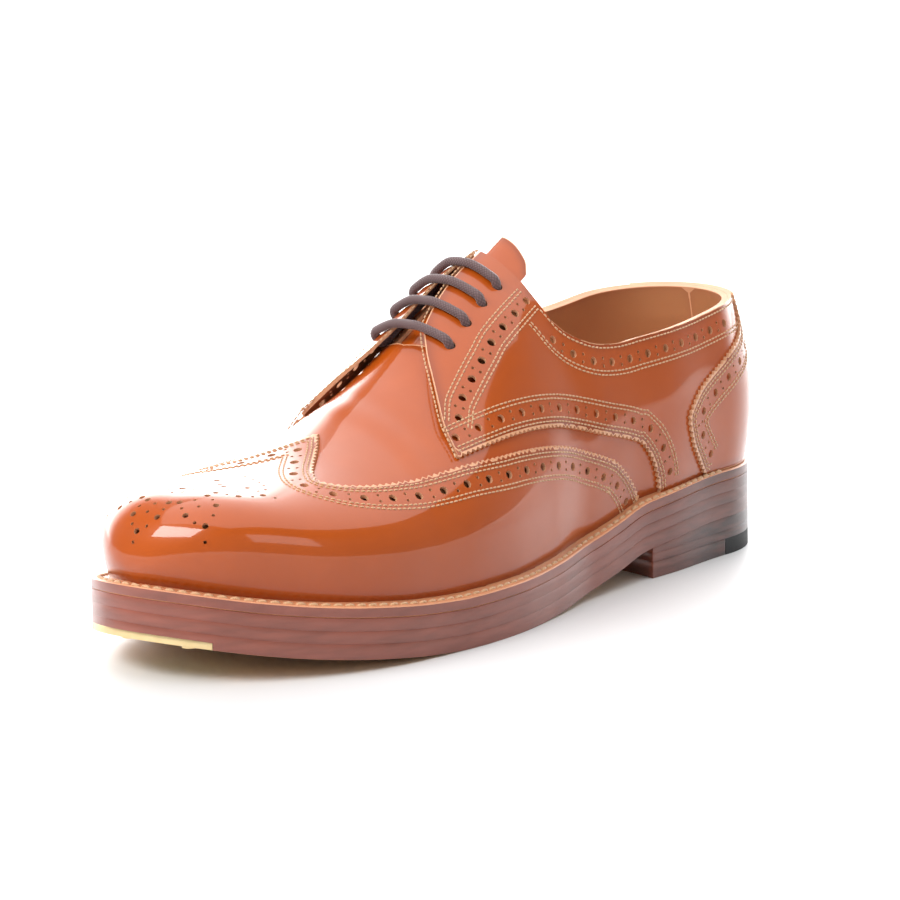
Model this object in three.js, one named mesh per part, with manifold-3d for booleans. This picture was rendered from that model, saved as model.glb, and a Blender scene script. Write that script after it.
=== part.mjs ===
// Full brogue derby, left shoe, in millimetres.
// +Z is up, the toe points to -Y and the outer (lateral) side faces +X.
// The sole's outline and the last's sections are the tables below; every piece is worked out from them.
import * as THREE from 'three';
import { mergeVertices } from 'three/addons/utils/BufferGeometryUtils.js';
import Module from 'manifold-3d';

const wasm = await Module();
wasm.setup();

// Driving sizes
const SOLE_LENGTH = 308;
const BALL_WIDTH = 108;
const INSTEP_HEIGHT = 104;
const TOE_HEIGHT = 32;
const COLLAR_HEIGHT = 62;
const HEEL_HEIGHT = 14;
const TOE_SPRING = 13.5;
const OUTSOLE = 5;
const MIDSOLE = 3.9;
const WELT = 3.7;
const WELT_SHOWS = 5.6;
const WELT_UNDER_UPPER = 11;
const HEEL_EDGE = 2;
const HEEL_LENGTH = 89;
const HEEL_BREAST_CURVE = 7;
const TOP_PIECE = 6;
const LIFT_SHARE = 0.62;
const RUBBER_LATERAL = 40;
const RUBBER_MEDIAL = 29;
const TOE_PLATE = 2.4;
const TOE_PLATE_LENGTH = 29;
const TOE_PLATE_INNER_WIDTH = 30;
const TOE_PLATE_SIDE_LENGTH = 10;
const TOE_PLATE_STATION = 0.95;
const TOE_PLATE_HALF_WIDTH = 0.24;
const SCREW_RADIUS = 1.7;
const TOE_PUSH_REACH = 3;
const HEEL_SWELL = 2.2;
const HEEL_LEAN = 7.5;
const WALL = 2;
const INSOLE = 3.2;
const LEATHER = 1.3;
const FACING_LIFT = 3;
const TONGUE = 1.6;
const TONGUE_REACH = 12;
const TONGUE_GIRTH = 0.24;
const LACE_RADIUS = 1.6;
const EYELET_RADIUS = 2.3;
const GAP = 0.3;
const INSOLE_CLEARANCE = 0.7;
const CUT_BELOW = 2;
const CUT_MARGIN = 6;
const CUT_OUTSIDE = FACING_LIFT + CUT_MARGIN;
const CUT_INSIDE = 5;

const SOLE_STACK = OUTSOLE + 2 * MIDSOLE + WELT + 3 * GAP;
const SEAT = SOLE_STACK + GAP;

// Sole outline from heel back (0) to toe tip (1): centre line and half width as shares of the ball width
const OUTLINE = [
  { at: 0.00, centre: 0.005, half: 0.333 },
  { at: 0.15, centre: 0.003, half: 0.343 },
  { at: 0.24, centre: 0.009, half: 0.357 },
  { at: 0.32, centre: 0.029, half: 0.340 },
  { at: 0.41, centre: 0.057, half: 0.336 },
  { at: 0.50, centre: 0.069, half: 0.378 },
  { at: 0.60, centre: 0.045, half: 0.453 },
  { at: 0.68, centre: 0.013, half: 0.491 },
  { at: 0.76, centre: -0.015, half: 0.500 },
  { at: 0.84, centre: -0.035, half: 0.489 },
  { at: 0.92, centre: -0.060, half: 0.469 },
  { at: 1.00, centre: -0.083, half: 0.447 },
];
// How the outline rounds off at each end: share of the length that it takes, and how square it stays
const HEEL_ROUND = { share: 0.125, power: 2.2 };
const TOE_ROUND = { share: 0.246, power: 2.26 };

// Underside of the outsole: rise as shares of the heel height and of the toe spring
const UNDERSIDE = [
  { at: 0.00, heel: 1.000, toe: 0.00 },
  { at: 0.12, heel: 1.000, toe: 0.00 },
  { at: 0.29, heel: 0.786, toe: 0.00 },
  { at: 0.36, heel: 0.471, toe: 0.00 },
  { at: 0.44, heel: 0.186, toe: 0.00 },
  { at: 0.52, heel: 0.036, toe: 0.00 },
  { at: 0.58, heel: 0.000, toe: 0.00 },
  { at: 0.68, heel: 0.000, toe: 0.00 },
  { at: 0.74, heel: 0.000, toe: 0.07 },
  { at: 0.80, heel: 0.000, toe: 0.21 },
  { at: 0.87, heel: 0.000, toe: 0.41 },
  { at: 0.93, heel: 0.000, toe: 0.64 },
  { at: 1.00, heel: 0.000, toe: 1.00 },
];

// Width of welt that shows beside the upper, as shares of WELT_SHOWS
const WELT_EDGE = [
  { at: 0.00, lateral: 0.36, medial: 0.36 },
  { at: 0.20, lateral: 0.39, medial: 0.39 },
  { at: 0.32, lateral: 0.63, medial: 0.46 },
  { at: 0.45, lateral: 0.90, medial: 0.57 },
  { at: 0.60, lateral: 1.00, medial: 0.90 },
  { at: 0.75, lateral: 1.00, medial: 1.00 },
  { at: 1.00, lateral: 1.00, medial: 1.00 },
];

// Sections of the last: bulge beyond the feather line and its height, the ridge's height and place, and
// how full the section is. Heights are shares of the instep and toe heights, widths of the ball width.
const SECTIONS = [
  { at: 0.00, bulge: 0.014, inner: 0.014, waist: 0.23, instep: 1.080, toe: 0.00, ridge: 0.009, full: 1.75 },
  { at: 0.12, bulge: 0.019, inner: 0.019, waist: 0.23, instep: 1.100, toe: 0.00, ridge: 0.009, full: 1.65 },
  { at: 0.25, bulge: 0.023, inner: 0.019, waist: 0.22, instep: 1.100, toe: 0.00, ridge: 0.000, full: 1.60 },
  { at: 0.36, bulge: 0.023, inner: 0.023, waist: 0.21, instep: 1.045, toe: 0.00, ridge: -0.009, full: 1.65 },
  { at: 0.44, bulge: 0.019, inner: 0.028, waist: 0.20, instep: 0.950, toe: 0.00, ridge: -0.019, full: 1.75 },
  { at: 0.50, bulge: 0.014, inner: 0.032, waist: 0.19, instep: 0.865, toe: 0.00, ridge: -0.028, full: 1.80 },
  { at: 0.58, bulge: 0.011, inner: 0.023, waist: 0.17, instep: 0.705, toe: 0.00, ridge: -0.032, full: 1.85 },
  { at: 0.66, bulge: 0.011, inner: 0.014, waist: 0.15, instep: 0.470, toe: 0.29, ridge: -0.037, full: 1.95 },
  { at: 0.74, bulge: 0.009, inner: 0.009, waist: 0.13, instep: 0.260, toe: 0.62, ridge: -0.042, full: 2.10 },
  { at: 0.82, bulge: 0.009, inner: 0.009, waist: 0.12, instep: 0.100, toe: 0.89, ridge: -0.051, full: 2.30 },
  { at: 0.90, bulge: 0.011, inner: 0.011, waist: 0.11, instep: 0.020, toe: 1.00, ridge: -0.065, full: 2.60 },
  { at: 1.00, bulge: 0.011, inner: 0.011, waist: 0.11, instep: 0.000, toe: 1.00, ridge: -0.079, full: 2.90 },
];
const BULGE_GIRTH = 0.2;
const TOE_DOME = { share: 0.11, power: 2.6, root: 2.4 };
const TOE_PUSH = { share: 0.2, height: 0.375, reach: TOE_PUSH_REACH };
const HEEL_CURVE = { share: 0.14, out: HEEL_SWELL, in: HEEL_LEAN, outTop: 0.8, inFrom: 0.39, inSpan: 0.72 };

// Top edge of the quarters above the feather line, as shares of the collar height
const TOPLINE = [
  { at: 0.00, rise: 1.00 },
  { at: 0.08, rise: 0.97 },
  { at: 0.20, rise: 0.92 },
  { at: 0.30, rise: 0.93 },
  { at: 0.36, rise: 1.00 },
  { at: 0.40, rise: 1.10 },
  { at: 0.425, rise: 1.22 },
  { at: 0.436, rise: 1.38 },
];
const TOPLINE_END = 0.436;
const FACING_TOP = 0.442;
const THROAT = 0.605;

// Front edge of a facing, from its top to its lower corner, as girth (0 at the ridge, 1 at the feather)
const FACING_EDGE = [
  { at: 0.442, girth: 0.030 },
  { at: 0.500, girth: 0.045 },
  { at: 0.555, girth: 0.075 },
  { at: 0.580, girth: 0.135 },
  { at: 0.602, girth: 0.205 },
  { at: 0.625, girth: 0.285 },
  { at: 0.640, girth: 0.350 },
  { at: 0.650, girth: 0.455 },
];
// Lower edge of a quarter over the vamp, from the feather to the facing's corner
const QUARTER_EDGE = [
  { at: 0.262, girth: 1.00 },
  { at: 0.270, girth: 0.94 },
  { at: 0.290, girth: 0.85 },
  { at: 0.312, girth: 0.79 },
  { at: 0.342, girth: 0.745 },
  { at: 0.375, girth: 0.71 },
  { at: 0.454, girth: 0.63 },
  { at: 0.539, girth: 0.555 },
  { at: 0.608, girth: 0.49 },
  { at: 0.650, girth: 0.46 },
];
// Edge of the wing cap, from its peak on the ridge to the feather, as the station at each girth
const WING_EDGE = [
  { at: 0.00, station: 0.722 },
  { at: 0.05, station: 0.745 },
  { at: 0.17, station: 0.800 },
  { at: 0.23, station: 0.811 },
  { at: 0.30, station: 0.800 },
  { at: 0.36, station: 0.775 },
  { at: 0.42, station: 0.734 },
  { at: 0.50, station: 0.650 },
  { at: 0.60, station: 0.549 },
  { at: 0.70, station: 0.438 },
  { at: 0.79, station: 0.369 },
  { at: 0.90, station: 0.328 },
  { at: 1.00, station: 0.300 },
];
// Front edge of the heel counter, from the feather (0) to the collar (1)
const COUNTER_EDGE = [
  { at: 0.00, station: 0.165 },
  { at: 0.10, station: 0.180 },
  { at: 0.30, station: 0.205 },
  { at: 0.48, station: 0.214 },
  { at: 0.62, station: 0.190 },
  { at: 0.75, station: 0.120 },
  { at: 0.86, station: 0.055 },
  { at: 1.00, station: 0.035 },
];
const EYELET_STATIONS = [0.470, 0.501, 0.532, 0.563];
const EYELET_GIRTH = 0.20;

// Smooth curve through one column of a table; it never overshoots between two rows
function column(rows, name) {
  const x = rows.map((row) => row.at);
  const y = rows.map((row) => row[name]);
  const steps = x.slice(1).map((end, i) => (y[i + 1] - y[i]) / (end - x[i]));
  const slopes = y.map((value, i) => {
    if (i === 0) return steps[0];
    if (i === steps.length) return steps[i - 1];
    if (steps[i - 1] * steps[i] <= 0) return 0;
    return 2 / (1 / steps[i - 1] + 1 / steps[i]);
  });
  return (at) => {
    if (at <= x[0]) return y[0];
    if (at >= x[x.length - 1]) return y[y.length - 1];
    const i = x.findIndex((end) => end > at) - 1;
    const width = x[i + 1] - x[i];
    const t = (at - x[i]) / width;
    const rise = y[i + 1] - y[i];
    const bend = slopes[i] * width * t * (1 - t) ** 2 - slopes[i + 1] * width * t * t * (1 - t);
    return y[i] + rise * t * t * (3 - 2 * t) + bend;
  };
}

const clamp = (value, low, high) => Math.min(high, Math.max(low, value));
const mix = (from, to, t) => from + (to - from) * t;
const outlineCentre = column(OUTLINE, 'centre');
const outlineHalf = column(OUTLINE, 'half');
const undersideHeel = column(UNDERSIDE, 'heel');
const undersideToe = column(UNDERSIDE, 'toe');
const weltLateral = column(WELT_EDGE, 'lateral');
const weltMedial = column(WELT_EDGE, 'medial');
const section = Object.fromEntries(
  Object.keys(SECTIONS[0]).slice(1).map((name) => [name, column(SECTIONS, name)]),
);
const topline = column(TOPLINE, 'rise');
const facingEdge = column(FACING_EDGE, 'girth');
const quarterEdge = column(QUARTER_EDGE, 'girth');
const wingEdge = column(WING_EDGE, 'station');
const counterEdge = column(COUNTER_EDGE, 'station');

// Share of the half width that is left near the round ends
function rounding(station) {
  const heel = clamp((HEEL_ROUND.share - station) / HEEL_ROUND.share, 0, 1);
  const toe = clamp((station - 1 + TOE_ROUND.share) / TOE_ROUND.share, 0, 1);
  return Math.sqrt((1 - heel ** HEEL_ROUND.power) * (1 - toe ** TOE_ROUND.power));
}

const underside = (y) => {
  const station = (SOLE_LENGTH / 2 - y) / SOLE_LENGTH;
  return HEEL_HEIGHT * undersideHeel(station) + TOE_SPRING * undersideToe(station);
};

// A point on the sole's outline, or inside it by a share of the welt that shows and a plain inset
function outline(station, side, weltShare = 0, inset = 0) {
  const heelInset = weltShare * HEEL_EDGE + inset;
  const toeInset = weltShare * WELT_SHOWS + inset;
  const y = SOLE_LENGTH / 2 - heelInset - (SOLE_LENGTH - heelInset - toeInset) * station;
  const shows = WELT_SHOWS * (side > 0 ? weltLateral(station) : weltMedial(station));
  const half = BALL_WIDTH * outlineHalf(station) - weltShare * shows - inset;
  return { x: BALL_WIDTH * outlineCentre(station) + side * half * rounding(station), y };
}

// A point on the last. The angle runs over 0..PI from heel to toe, which spaces the stations closely at
// both ends; girth runs from -1 at the medial feather over 0 on the ridge to 1 at the lateral feather.
function lastPoint(angle, girth) {
  if (angle < 0) return lastPoint(-angle, -girth);
  if (angle > Math.PI) return lastPoint(2 * Math.PI - angle, -girth);
  const station = (1 - Math.cos(angle)) / 2;
  const side = girth < 0 ? -1 : 1;
  const up = 1 - Math.abs(girth);
  const feather = outline(station, side, 1);
  const ends = rounding(station);
  const centre = BALL_WIDTH * outlineCentre(station);
  const toe = clamp((station - 1 + TOE_DOME.share) / TOE_DOME.share, 0, 1);
  const dome = (1 - toe ** TOE_DOME.power) ** (1 / TOE_DOME.root);
  const top = (section.instep(station) * INSTEP_HEIGHT + section.toe(station) * TOE_HEIGHT) * dome;
  const waist = Math.min(section.waist(station) * INSTEP_HEIGHT * mix(0.35, 1, dome), 0.45 * top);
  const out = BALL_WIDTH * Math.min(1, 1.5 * ends) * (side > 0 ? section.bulge : section.inner)(station);
  const ridge = centre + (section.ridge(station) * BALL_WIDTH - centre) * Math.min(1, 1.2 * ends);
  let x;
  let z;
  if (up < BULGE_GIRTH) {
    const t = up / BULGE_GIRTH;
    x = feather.x + side * out * (1 - (1 - t) ** 2);
    z = waist * t;
  } else {
    const turn = ((up - BULGE_GIRTH) / (1 - BULGE_GIRTH)) * (Math.PI / 2);
    const power = 2 / section.full(station);
    x = ridge + (feather.x + side * out - ridge) * Math.max(0, Math.cos(turn)) ** power;
    z = waist + (top - waist) * Math.sin(turn) ** power;
  }
  const front = clamp((station - 1 + TOE_PUSH.share) / TOE_PUSH.share, 0, 1) ** 2;
  const rise = 1 - clamp(z / (TOE_PUSH.height * TOE_HEIGHT), 0, 1);
  const back = clamp(1 - station / HEEL_CURVE.share, 0, 1);
  const heelHeight = z / COLLAR_HEIGHT;
  const backOut = HEEL_CURVE.out * Math.sin(Math.PI * clamp(heelHeight / HEEL_CURVE.outTop, 0, 1));
  const backIn = HEEL_CURVE.in * clamp((heelHeight - HEEL_CURVE.inFrom) / HEEL_CURVE.inSpan, 0, 1.3) ** 1.6;
  const y = feather.y - front * TOE_PUSH.reach * (1 - rise * rise) + back * (backOut - backIn);
  return new THREE.Vector3(x, y, underside(feather.y) + SEAT + z);
}

// Facings stand clear of the vamp beneath them, most beside the throat
function facingLift(station, girth) {
  const along = clamp((station - 0.40) / 0.12, 0, 1) * clamp((0.74 - station) / 0.10, 0, 1);
  const across = clamp(1 - Math.abs(girth) / 0.5, 0, 1);
  return FACING_LIFT * along * Math.sqrt(across);
}

// The leather at a distance from the upper's outer face; the wing cap and quarters end on the last's face
function leather(spot, distance, lifted = false) {
  const angle = Math.acos(clamp(1 - 2 * spot.station, -1, 1));
  const point = lastPoint(angle, spot.girth);
  const step = 0.002;
  const low = Math.max(-1, spot.girth - step);
  const high = Math.min(1, spot.girth + step);
  const around = lastPoint(angle, high).sub(lastPoint(angle, low));
  const along = lastPoint(angle + step, spot.girth).sub(lastPoint(angle - step, spot.girth));
  const normal = along.cross(around);
  if (normal.length() < 1e-9) normal.set(0, -1, 0);
  normal.normalize();
  const lift = lifted ? facingLift(spot.station, spot.girth) : 0;
  const moved = point.clone().addScaledVector(normal, distance - LEATHER - GAP + lift);
  if (Math.abs(spot.girth) === 1) moved.z = point.z;
  return moved;
}

// The same, run on below the feather line, for the forms that only cut
function cutting(spot, distance) {
  const moved = leather(spot, distance);
  if (Math.abs(spot.girth) === 1) moved.z -= CUT_BELOW;
  return moved;
}

// Girth at which the last reaches a height above the feather line
function girthAtHeight(station, side, height) {
  const angle = Math.acos(1 - 2 * station);
  const floor = lastPoint(angle, side).z;
  let low = 0;
  let high = 1;
  for (let i = 0; i < 40; i += 1) {
    const middle = (low + high) / 2;
    if (lastPoint(angle, side * middle).z - floor > height) low = middle;
    else high = middle;
  }
  return low;
}

// Where a side of the upper ends: the topline, the facing's edge with a margin, or the ridge
function upperTop(station, side, margin) {
  if (station >= THROAT) return 0;
  if (station > FACING_TOP) {
    const closing = clamp((THROAT - station) / 0.02, 0, 1);
    return (facingEdge(Math.min(station, 0.555)) + margin) * Math.sqrt(closing);
  }
  const height = COLLAR_HEIGHT * topline(Math.min(station, TOPLINE_END));
  const collar = girthAtHeight(Math.min(station, TOPLINE_END), side, height);
  const corner = clamp((station - TOPLINE_END) / (FACING_TOP - TOPLINE_END), 0, 1);
  return mix(collar, facingEdge(FACING_TOP) + margin, corner);
}

// Stations spaced closely towards an end, and evenly
const rounded = (from, to, count) => Array.from({ length: count + 1 }, (_, i) => {
  const a = Math.acos(1 - 2 * from);
  const b = Math.acos(1 - 2 * to);
  return (1 - Math.cos(mix(a, b, i / count))) / 2;
});
const even = (from, to, count) => Array.from({ length: count + 1 }, (_, i) => mix(from, to, i / count));
const joined = (...runs) => runs.flatMap((run, i) => (i ? run.slice(1) : run));

// Spots with the same key are one place: both sides meet at the heel's back, all girths at the toe's tip
function placeKey(spot) {
  if (spot.station === undefined) return [spot.x, spot.y].map((value) => Math.round(value * 1e4)).join();
  if (spot.station > 1 - 1e-9) return 'tip';
  const girth = spot.station < 1e-9 ? Math.abs(spot.girth) : spot.girth;
  return [spot.station, girth].map((value) => Math.round(value * 1e6) + 0).join();
}

// Closed body between an outer and an inner face, over grids of spots that share their touching edges
function shell(grids, outer, inner) {
  const index = new Map();
  const outerPoints = [];
  const innerPoints = [];
  const vertex = (spot) => {
    const key = placeKey(spot);
    if (!index.has(key)) {
      index.set(key, outerPoints.length);
      outerPoints.push(outer(spot));
      innerPoints.push(inner(spot));
    }
    return index.get(key);
  };
  const outward = ([a, b, c]) => {
    const [p, q, r] = [a, b, c].map((id) => outerPoints[id]);
    const normal = q.clone().sub(p).cross(r.clone().sub(p));
    return normal.dot(p.clone().sub(innerPoints[a]));
  };
  const faces = grids.flatMap((grid) => {
    const ids = grid.map((row) => row.map(vertex));
    const sheet = ids.slice(1).flatMap((row, i) => row.slice(1).flatMap((corner, j) => [
      [ids[i][j], row[j], corner],
      [ids[i][j], corner, ids[i][j + 1]],
    ])).filter(([a, b, c]) => a !== b && b !== c && c !== a);
    const total = sheet.reduce((sum, face) => sum + outward(face), 0);
    return total > 0 ? sheet : sheet.map(([a, b, c]) => [a, c, b]);
  });
  const edges = new Set(faces.flatMap(([a, b, c]) => [`${a},${b}`, `${b},${c}`, `${c},${a}`]));
  const count = outerPoints.length;
  const triangles = faces.flatMap(([a, b, c]) => [a, b, c, a + count, c + count, b + count]);
  for (const edge of edges) {
    const [a, b] = edge.split(',').map(Number);
    if (!edges.has(`${b},${a}`)) triangles.push(a, a + count, b + count, a, b + count, b);
  }
  const geometry = new THREE.BufferGeometry();
  const places = [...outerPoints, ...innerPoints].flatMap((point) => point.toArray());
  geometry.setAttribute('position', new THREE.Float32BufferAttribute(places, 3));
  geometry.setIndex(triangles);
  return geometry;
}

// Conversions between three.js geometry and solids that can be cut and joined
function solid(geometry) {
  const bare = geometry.clone();
  bare.deleteAttribute('normal');
  bare.deleteAttribute('uv');
  const merged = mergeVertices(bare, 1e-4);
  const vertProperties = new Float32Array(merged.attributes.position.array);
  const triVerts = new Uint32Array(merged.index.array);
  return new wasm.Manifold(new wasm.Mesh({ numProp: 3, vertProperties, triVerts }));
}

function geometryOf(body) {
  const mesh = body.getMesh();
  const geometry = new THREE.BufferGeometry();
  geometry.setAttribute('position', new THREE.BufferAttribute(mesh.vertProperties, 3));
  geometry.setIndex(new THREE.BufferAttribute(mesh.triVerts, 1));
  return geometry;
}

const MATERIALS = {
  cognac: { color: 0xb0532a, roughness: 0.18, metalness: 0 },
  lining: { color: 0xc79a6b, roughness: 0.6, metalness: 0 },
  soleEdge: { color: 0x6e4038, roughness: 0.35, metalness: 0 },
  soleLeather: { color: 0xd9ab78, roughness: 0.5, metalness: 0 },
  welt: { color: 0xd39a62, roughness: 0.45, metalness: 0 },
  heel: { color: 0x4a2c25, roughness: 0.35, metalness: 0 },
  rubber: { color: 0x1b1a1a, roughness: 0.7, metalness: 0 },
  brass: { color: 0xc79b4b, roughness: 0.3, metalness: 1 },
  lace: { color: 0x6d5555, roughness: 0.7, metalness: 0 },
};

const shoe = new THREE.Group();

function add(name, geometry, material) {
  const mesh = new THREE.Mesh(geometry, new THREE.MeshStandardMaterial(MATERIALS[material]));
  mesh.name = name;
  shoe.add(mesh);
}

// A grid of places over the sole's outline, from one line across it to another
function soleGrid(from, to, shares, across = [-1, -0.5, 0, 0.5, 1]) {
  return shares.map((share) => across.map((side) => {
    const y = mix(from(side), to(side), share);
    const station = (SOLE_LENGTH / 2 - y) / SOLE_LENGTH;
    const half = BALL_WIDTH * outlineHalf(station) * rounding(station);
    return { x: BALL_WIDTH * outlineCentre(station) + side * half, y };
  }));
}

function slab(grid, bottom, top) {
  return shell([grid], ({ x, y }) => new THREE.Vector3(x, y, top(y)),
    ({ x, y }) => new THREE.Vector3(x, y, bottom(y)));
}

const heelBack = () => SOLE_LENGTH / 2;
const toeTip = () => -SOLE_LENGTH / 2;
const wholeSole = soleGrid(heelBack, toeTip, rounded(0, 1, 32), [-1, 1]);

function soleLayer(bottom, thickness) {
  return slab(wholeSole, (y) => underside(y) + bottom, (y) => underside(y) + bottom + thickness);
}

// Toe plate let into the outsole's underside: a straight inner edge with slanted ends
function toeRecess(clearance, top) {
  const tip = -SOLE_LENGTH / 2;
  const inner = TOE_PLATE_INNER_WIDTH / 2 + clearance;
  const run = TOE_PLATE_HALF_WIDTH * BALL_WIDTH - TOE_PLATE_INNER_WIDTH / 2;
  const slope = (TOE_PLATE_LENGTH - TOE_PLATE_SIDE_LENGTH) / run;
  const corner = inner + (TOE_PLATE_LENGTH + clearance) / slope;
  const inside = (x) => tip + TOE_PLATE_LENGTH + clearance - slope * Math.max(0, Math.abs(x) - inner);
  const centre = BALL_WIDTH * outlineCentre(TOE_PLATE_STATION);
  const grid = even(0, 1, 6).map((share) => [-corner, -inner, 0, inner, corner].map((x) => (
    { x: centre + x, y: mix(inside(x), tip - clearance - 2 * GAP, share) })));
  return solid(slab(grid, (y) => underside(y) - OUTSOLE, (y) => underside(y) + top));
}

// Screws: place across as a share of the ball width, and from the tip as a share of the plate's length
const SCREWS = [
  { across: 0.12, from: 0.47 },
  { across: 0.00, from: 0.70 },
  { across: -0.10, from: 0.38 },
];

function screw(place, radius, top) {
  const y = -SOLE_LENGTH / 2 + place.from * TOE_PLATE_LENGTH;
  const height = OUTSOLE + top;
  const cylinder = new THREE.CylinderGeometry(radius, radius, height, 12);
  cylinder.rotateX(Math.PI / 2);
  const x = BALL_WIDTH * (outlineCentre(TOE_PLATE_STATION) + place.across);
  cylinder.translate(x, y, underside(y) + top - height / 2);
  return solid(cylinder);
}

function addSole() {
  const screwTop = TOE_PLATE + GAP;
  const outsoleBody = SCREWS.reduce(
    (body, place) => body.subtract(screw(place, SCREW_RADIUS + GAP, screwTop + 2 * GAP)),
    solid(soleLayer(0, OUTSOLE)).subtract(toeRecess(GAP, TOE_PLATE + GAP)),
  );
  const plateBody = SCREWS.reduce(
    (body, place) => body.subtract(screw(place, SCREW_RADIUS + GAP, screwTop)),
    solid(soleLayer(0, TOE_PLATE)).intersect(toeRecess(0, TOE_PLATE + GAP)),
  );
  add('outsole', geometryOf(outsoleBody), 'soleLeather');
  add('toe_plate', geometryOf(plateBody), 'brass');
  SCREWS.forEach((place, i) => {
    const body = screw(place, SCREW_RADIUS, screwTop).intersect(solid(soleLayer(0, OUTSOLE - GAP)));
    add(`toe_plate_screw_${i + 1}`, geometryOf(body), 'brass');
  });
  add('midsole_lower', soleLayer(OUTSOLE + GAP, MIDSOLE), 'soleEdge');
  add('midsole_upper', soleLayer(OUTSOLE + MIDSOLE + 2 * GAP, MIDSOLE), 'soleEdge');
}

// Strip all round, from the sole's edge to well under the upper
function addWelt() {
  const bottom = SOLE_STACK - WELT;
  const rows = rounded(0, 1, 30);
  const ring = [1, -1].map((side) => rows.map((station) => [
    outline(station, side),
    outline(station, side, 1, WELT_UNDER_UPPER / 2),
    outline(station, side, 1, WELT_UNDER_UPPER),
  ]));
  const top = ({ x, y }) => new THREE.Vector3(x, y, underside(y) + SOLE_STACK);
  const under = ({ x, y }) => new THREE.Vector3(x, y, underside(y) + bottom);
  add('welt', shell(ring, top, under), 'welt');
}

// Insole inside the upper, with the filling that lies within the welt
function insetGrid(inset, rows) {
  return rows.map((station) => {
    const lateral = outline(station, 1, 1, inset);
    const medial = outline(station, -1, 1, inset);
    return even(0, 1, 4).map((share) => ({ x: mix(medial.x, lateral.x, share), y: lateral.y }));
  });
}

function addInsole() {
  const bottom = SEAT;
  const edge = WALL + LEATHER + GAP + INSOLE_CLEARANCE;
  const board = slab(insetGrid(edge, rounded(0, 1, 30)),
    (y) => underside(y) + bottom, (y) => underside(y) + bottom + INSOLE);
  const filling = slab(insetGrid(WELT_UNDER_UPPER + GAP, rounded(0, 1, 30)),
    (y) => underside(y) + SOLE_STACK - WELT + GAP, (y) => underside(y) + bottom + INSOLE / 2);
  add('insole', geometryOf(solid(board).add(solid(filling))), 'lining');
}

// Heel under the outsole: wedge, lift and a top piece in leather with a rubber rear corner
const heelBreast = (side) => SOLE_LENGTH / 2 - HEEL_LENGTH + HEEL_BREAST_CURVE * (1 - side * side);
const roundBack = even(0, 1, 10).map((share) => 1 - Math.cos((share * Math.PI) / 2));

function rubberJoint(shift) {
  return (side) => SOLE_LENGTH / 2 - mix(RUBBER_MEDIAL, RUBBER_LATERAL, (side + 1) / 2) + shift;
}

function addHeel() {
  const breastHeight = underside(heelBreast(1));
  const liftTop = mix(TOP_PIECE, breastHeight, LIFT_SHARE);
  const across = [-1, -0.6, 0, 0.6, 1];
  const whole = soleGrid(heelBack, heelBreast, roundBack, across);
  add('heel_wedge', slab(whole, () => liftTop + GAP, (y) => underside(y) - GAP), 'heel');
  add('heel_lift', slab(whole, () => TOP_PIECE + GAP, () => liftTop), 'heel');
  const rear = soleGrid(heelBack, rubberJoint(GAP / 2), roundBack, across);
  const front = soleGrid(rubberJoint(-GAP / 2), heelBreast, even(0, 1, 6), across);
  add('heel_top_piece_rubber', slab(rear, () => 0, () => TOP_PIECE), 'rubber');
  add('heel_top_piece_leather', slab(front, () => 0, () => TOP_PIECE), 'heel');
}

// Layer of leather over the whole last; every layer has the same facets, so layers lie evenly apart
const WHOLE_LAST = rounded(0, 1, 30).map((station) => even(-1, 1, 18).map((girth) => ({ station, girth })));

function layer(outer, inner, lifted = false) {
  return solid(shell([WHOLE_LAST], (spot) => leather(spot, outer, lifted),
    (spot) => leather(spot, inner, lifted)));
}

// Thick form over one pattern piece's area, which cuts that piece out of a layer
function pattern(grids) {
  return solid(shell(grids, (spot) => cutting(spot, CUT_OUTSIDE), (spot) => cutting(spot, -CUT_INSIDE)));
}

// Rows of spots from a lower girth to an upper girth on one side
function sideGrid(stations, side, lower, upper, rows) {
  return stations.map((station) => even(0, 1, rows).map((share) => (
    { station, girth: side * mix(lower(station), upper(station), share) })));
}

const TOPLINE_STATIONS = [0.36, 0.39, 0.41, 0.42, 0.43, TOPLINE_END, 0.439, FACING_TOP];

// One wall for vamp, quarters and lining, open at the collar, throat and underneath
function addUpper() {
  const throat = [FACING_TOP, 0.47, 0.50, 0.53, 0.56, 0.585, 0.595, THROAT];
  const stations = joined(rounded(0, 0.36, 12), TOPLINE_STATIONS, throat, rounded(THROAT, 1, 12));
  const grids = [1, -1].map((side) => sideGrid(stations, side, () => 1,
    (station) => upperTop(station, side, 0.03), 8));
  add('upper', geometryOf(layer(0, -WALL).intersect(pattern(grids))), 'lining');
}

function addWingCap() {
  const girths = joined(even(-1, -0.5, 5), even(-0.5, 0.5, 12), even(0.5, 1, 5));
  const shares = even(0, 1, 8).map((share) => Math.sin((share * Math.PI) / 2));
  const grid = girths.map((girth) => shares.map((share) => (
    { station: mix(wingEdge(Math.abs(girth)), 1, share), girth })));
  add('wing_cap', geometryOf(layer(GAP + LEATHER, GAP).intersect(pattern([grid]))), 'cognac');
}

// Hole for the lace, along the facing's own slant
function eyelet(station, side) {
  const spot = { station, girth: side * EYELET_GIRTH };
  const foot = leather(spot, GAP, true);
  const head = leather(spot, GAP + LEATHER, true);
  const direction = head.clone().sub(foot).normalize();
  const cylinder = new THREE.CylinderGeometry(EYELET_RADIUS, EYELET_RADIUS, 4 * LEATHER, 8);
  cylinder.applyQuaternion(new THREE.Quaternion().setFromUnitVectors(new THREE.Vector3(0, 1, 0), direction));
  const centre = foot.lerp(head, 0.5);
  cylinder.translate(centre.x, centre.y, centre.z);
  return solid(cylinder);
}

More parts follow.
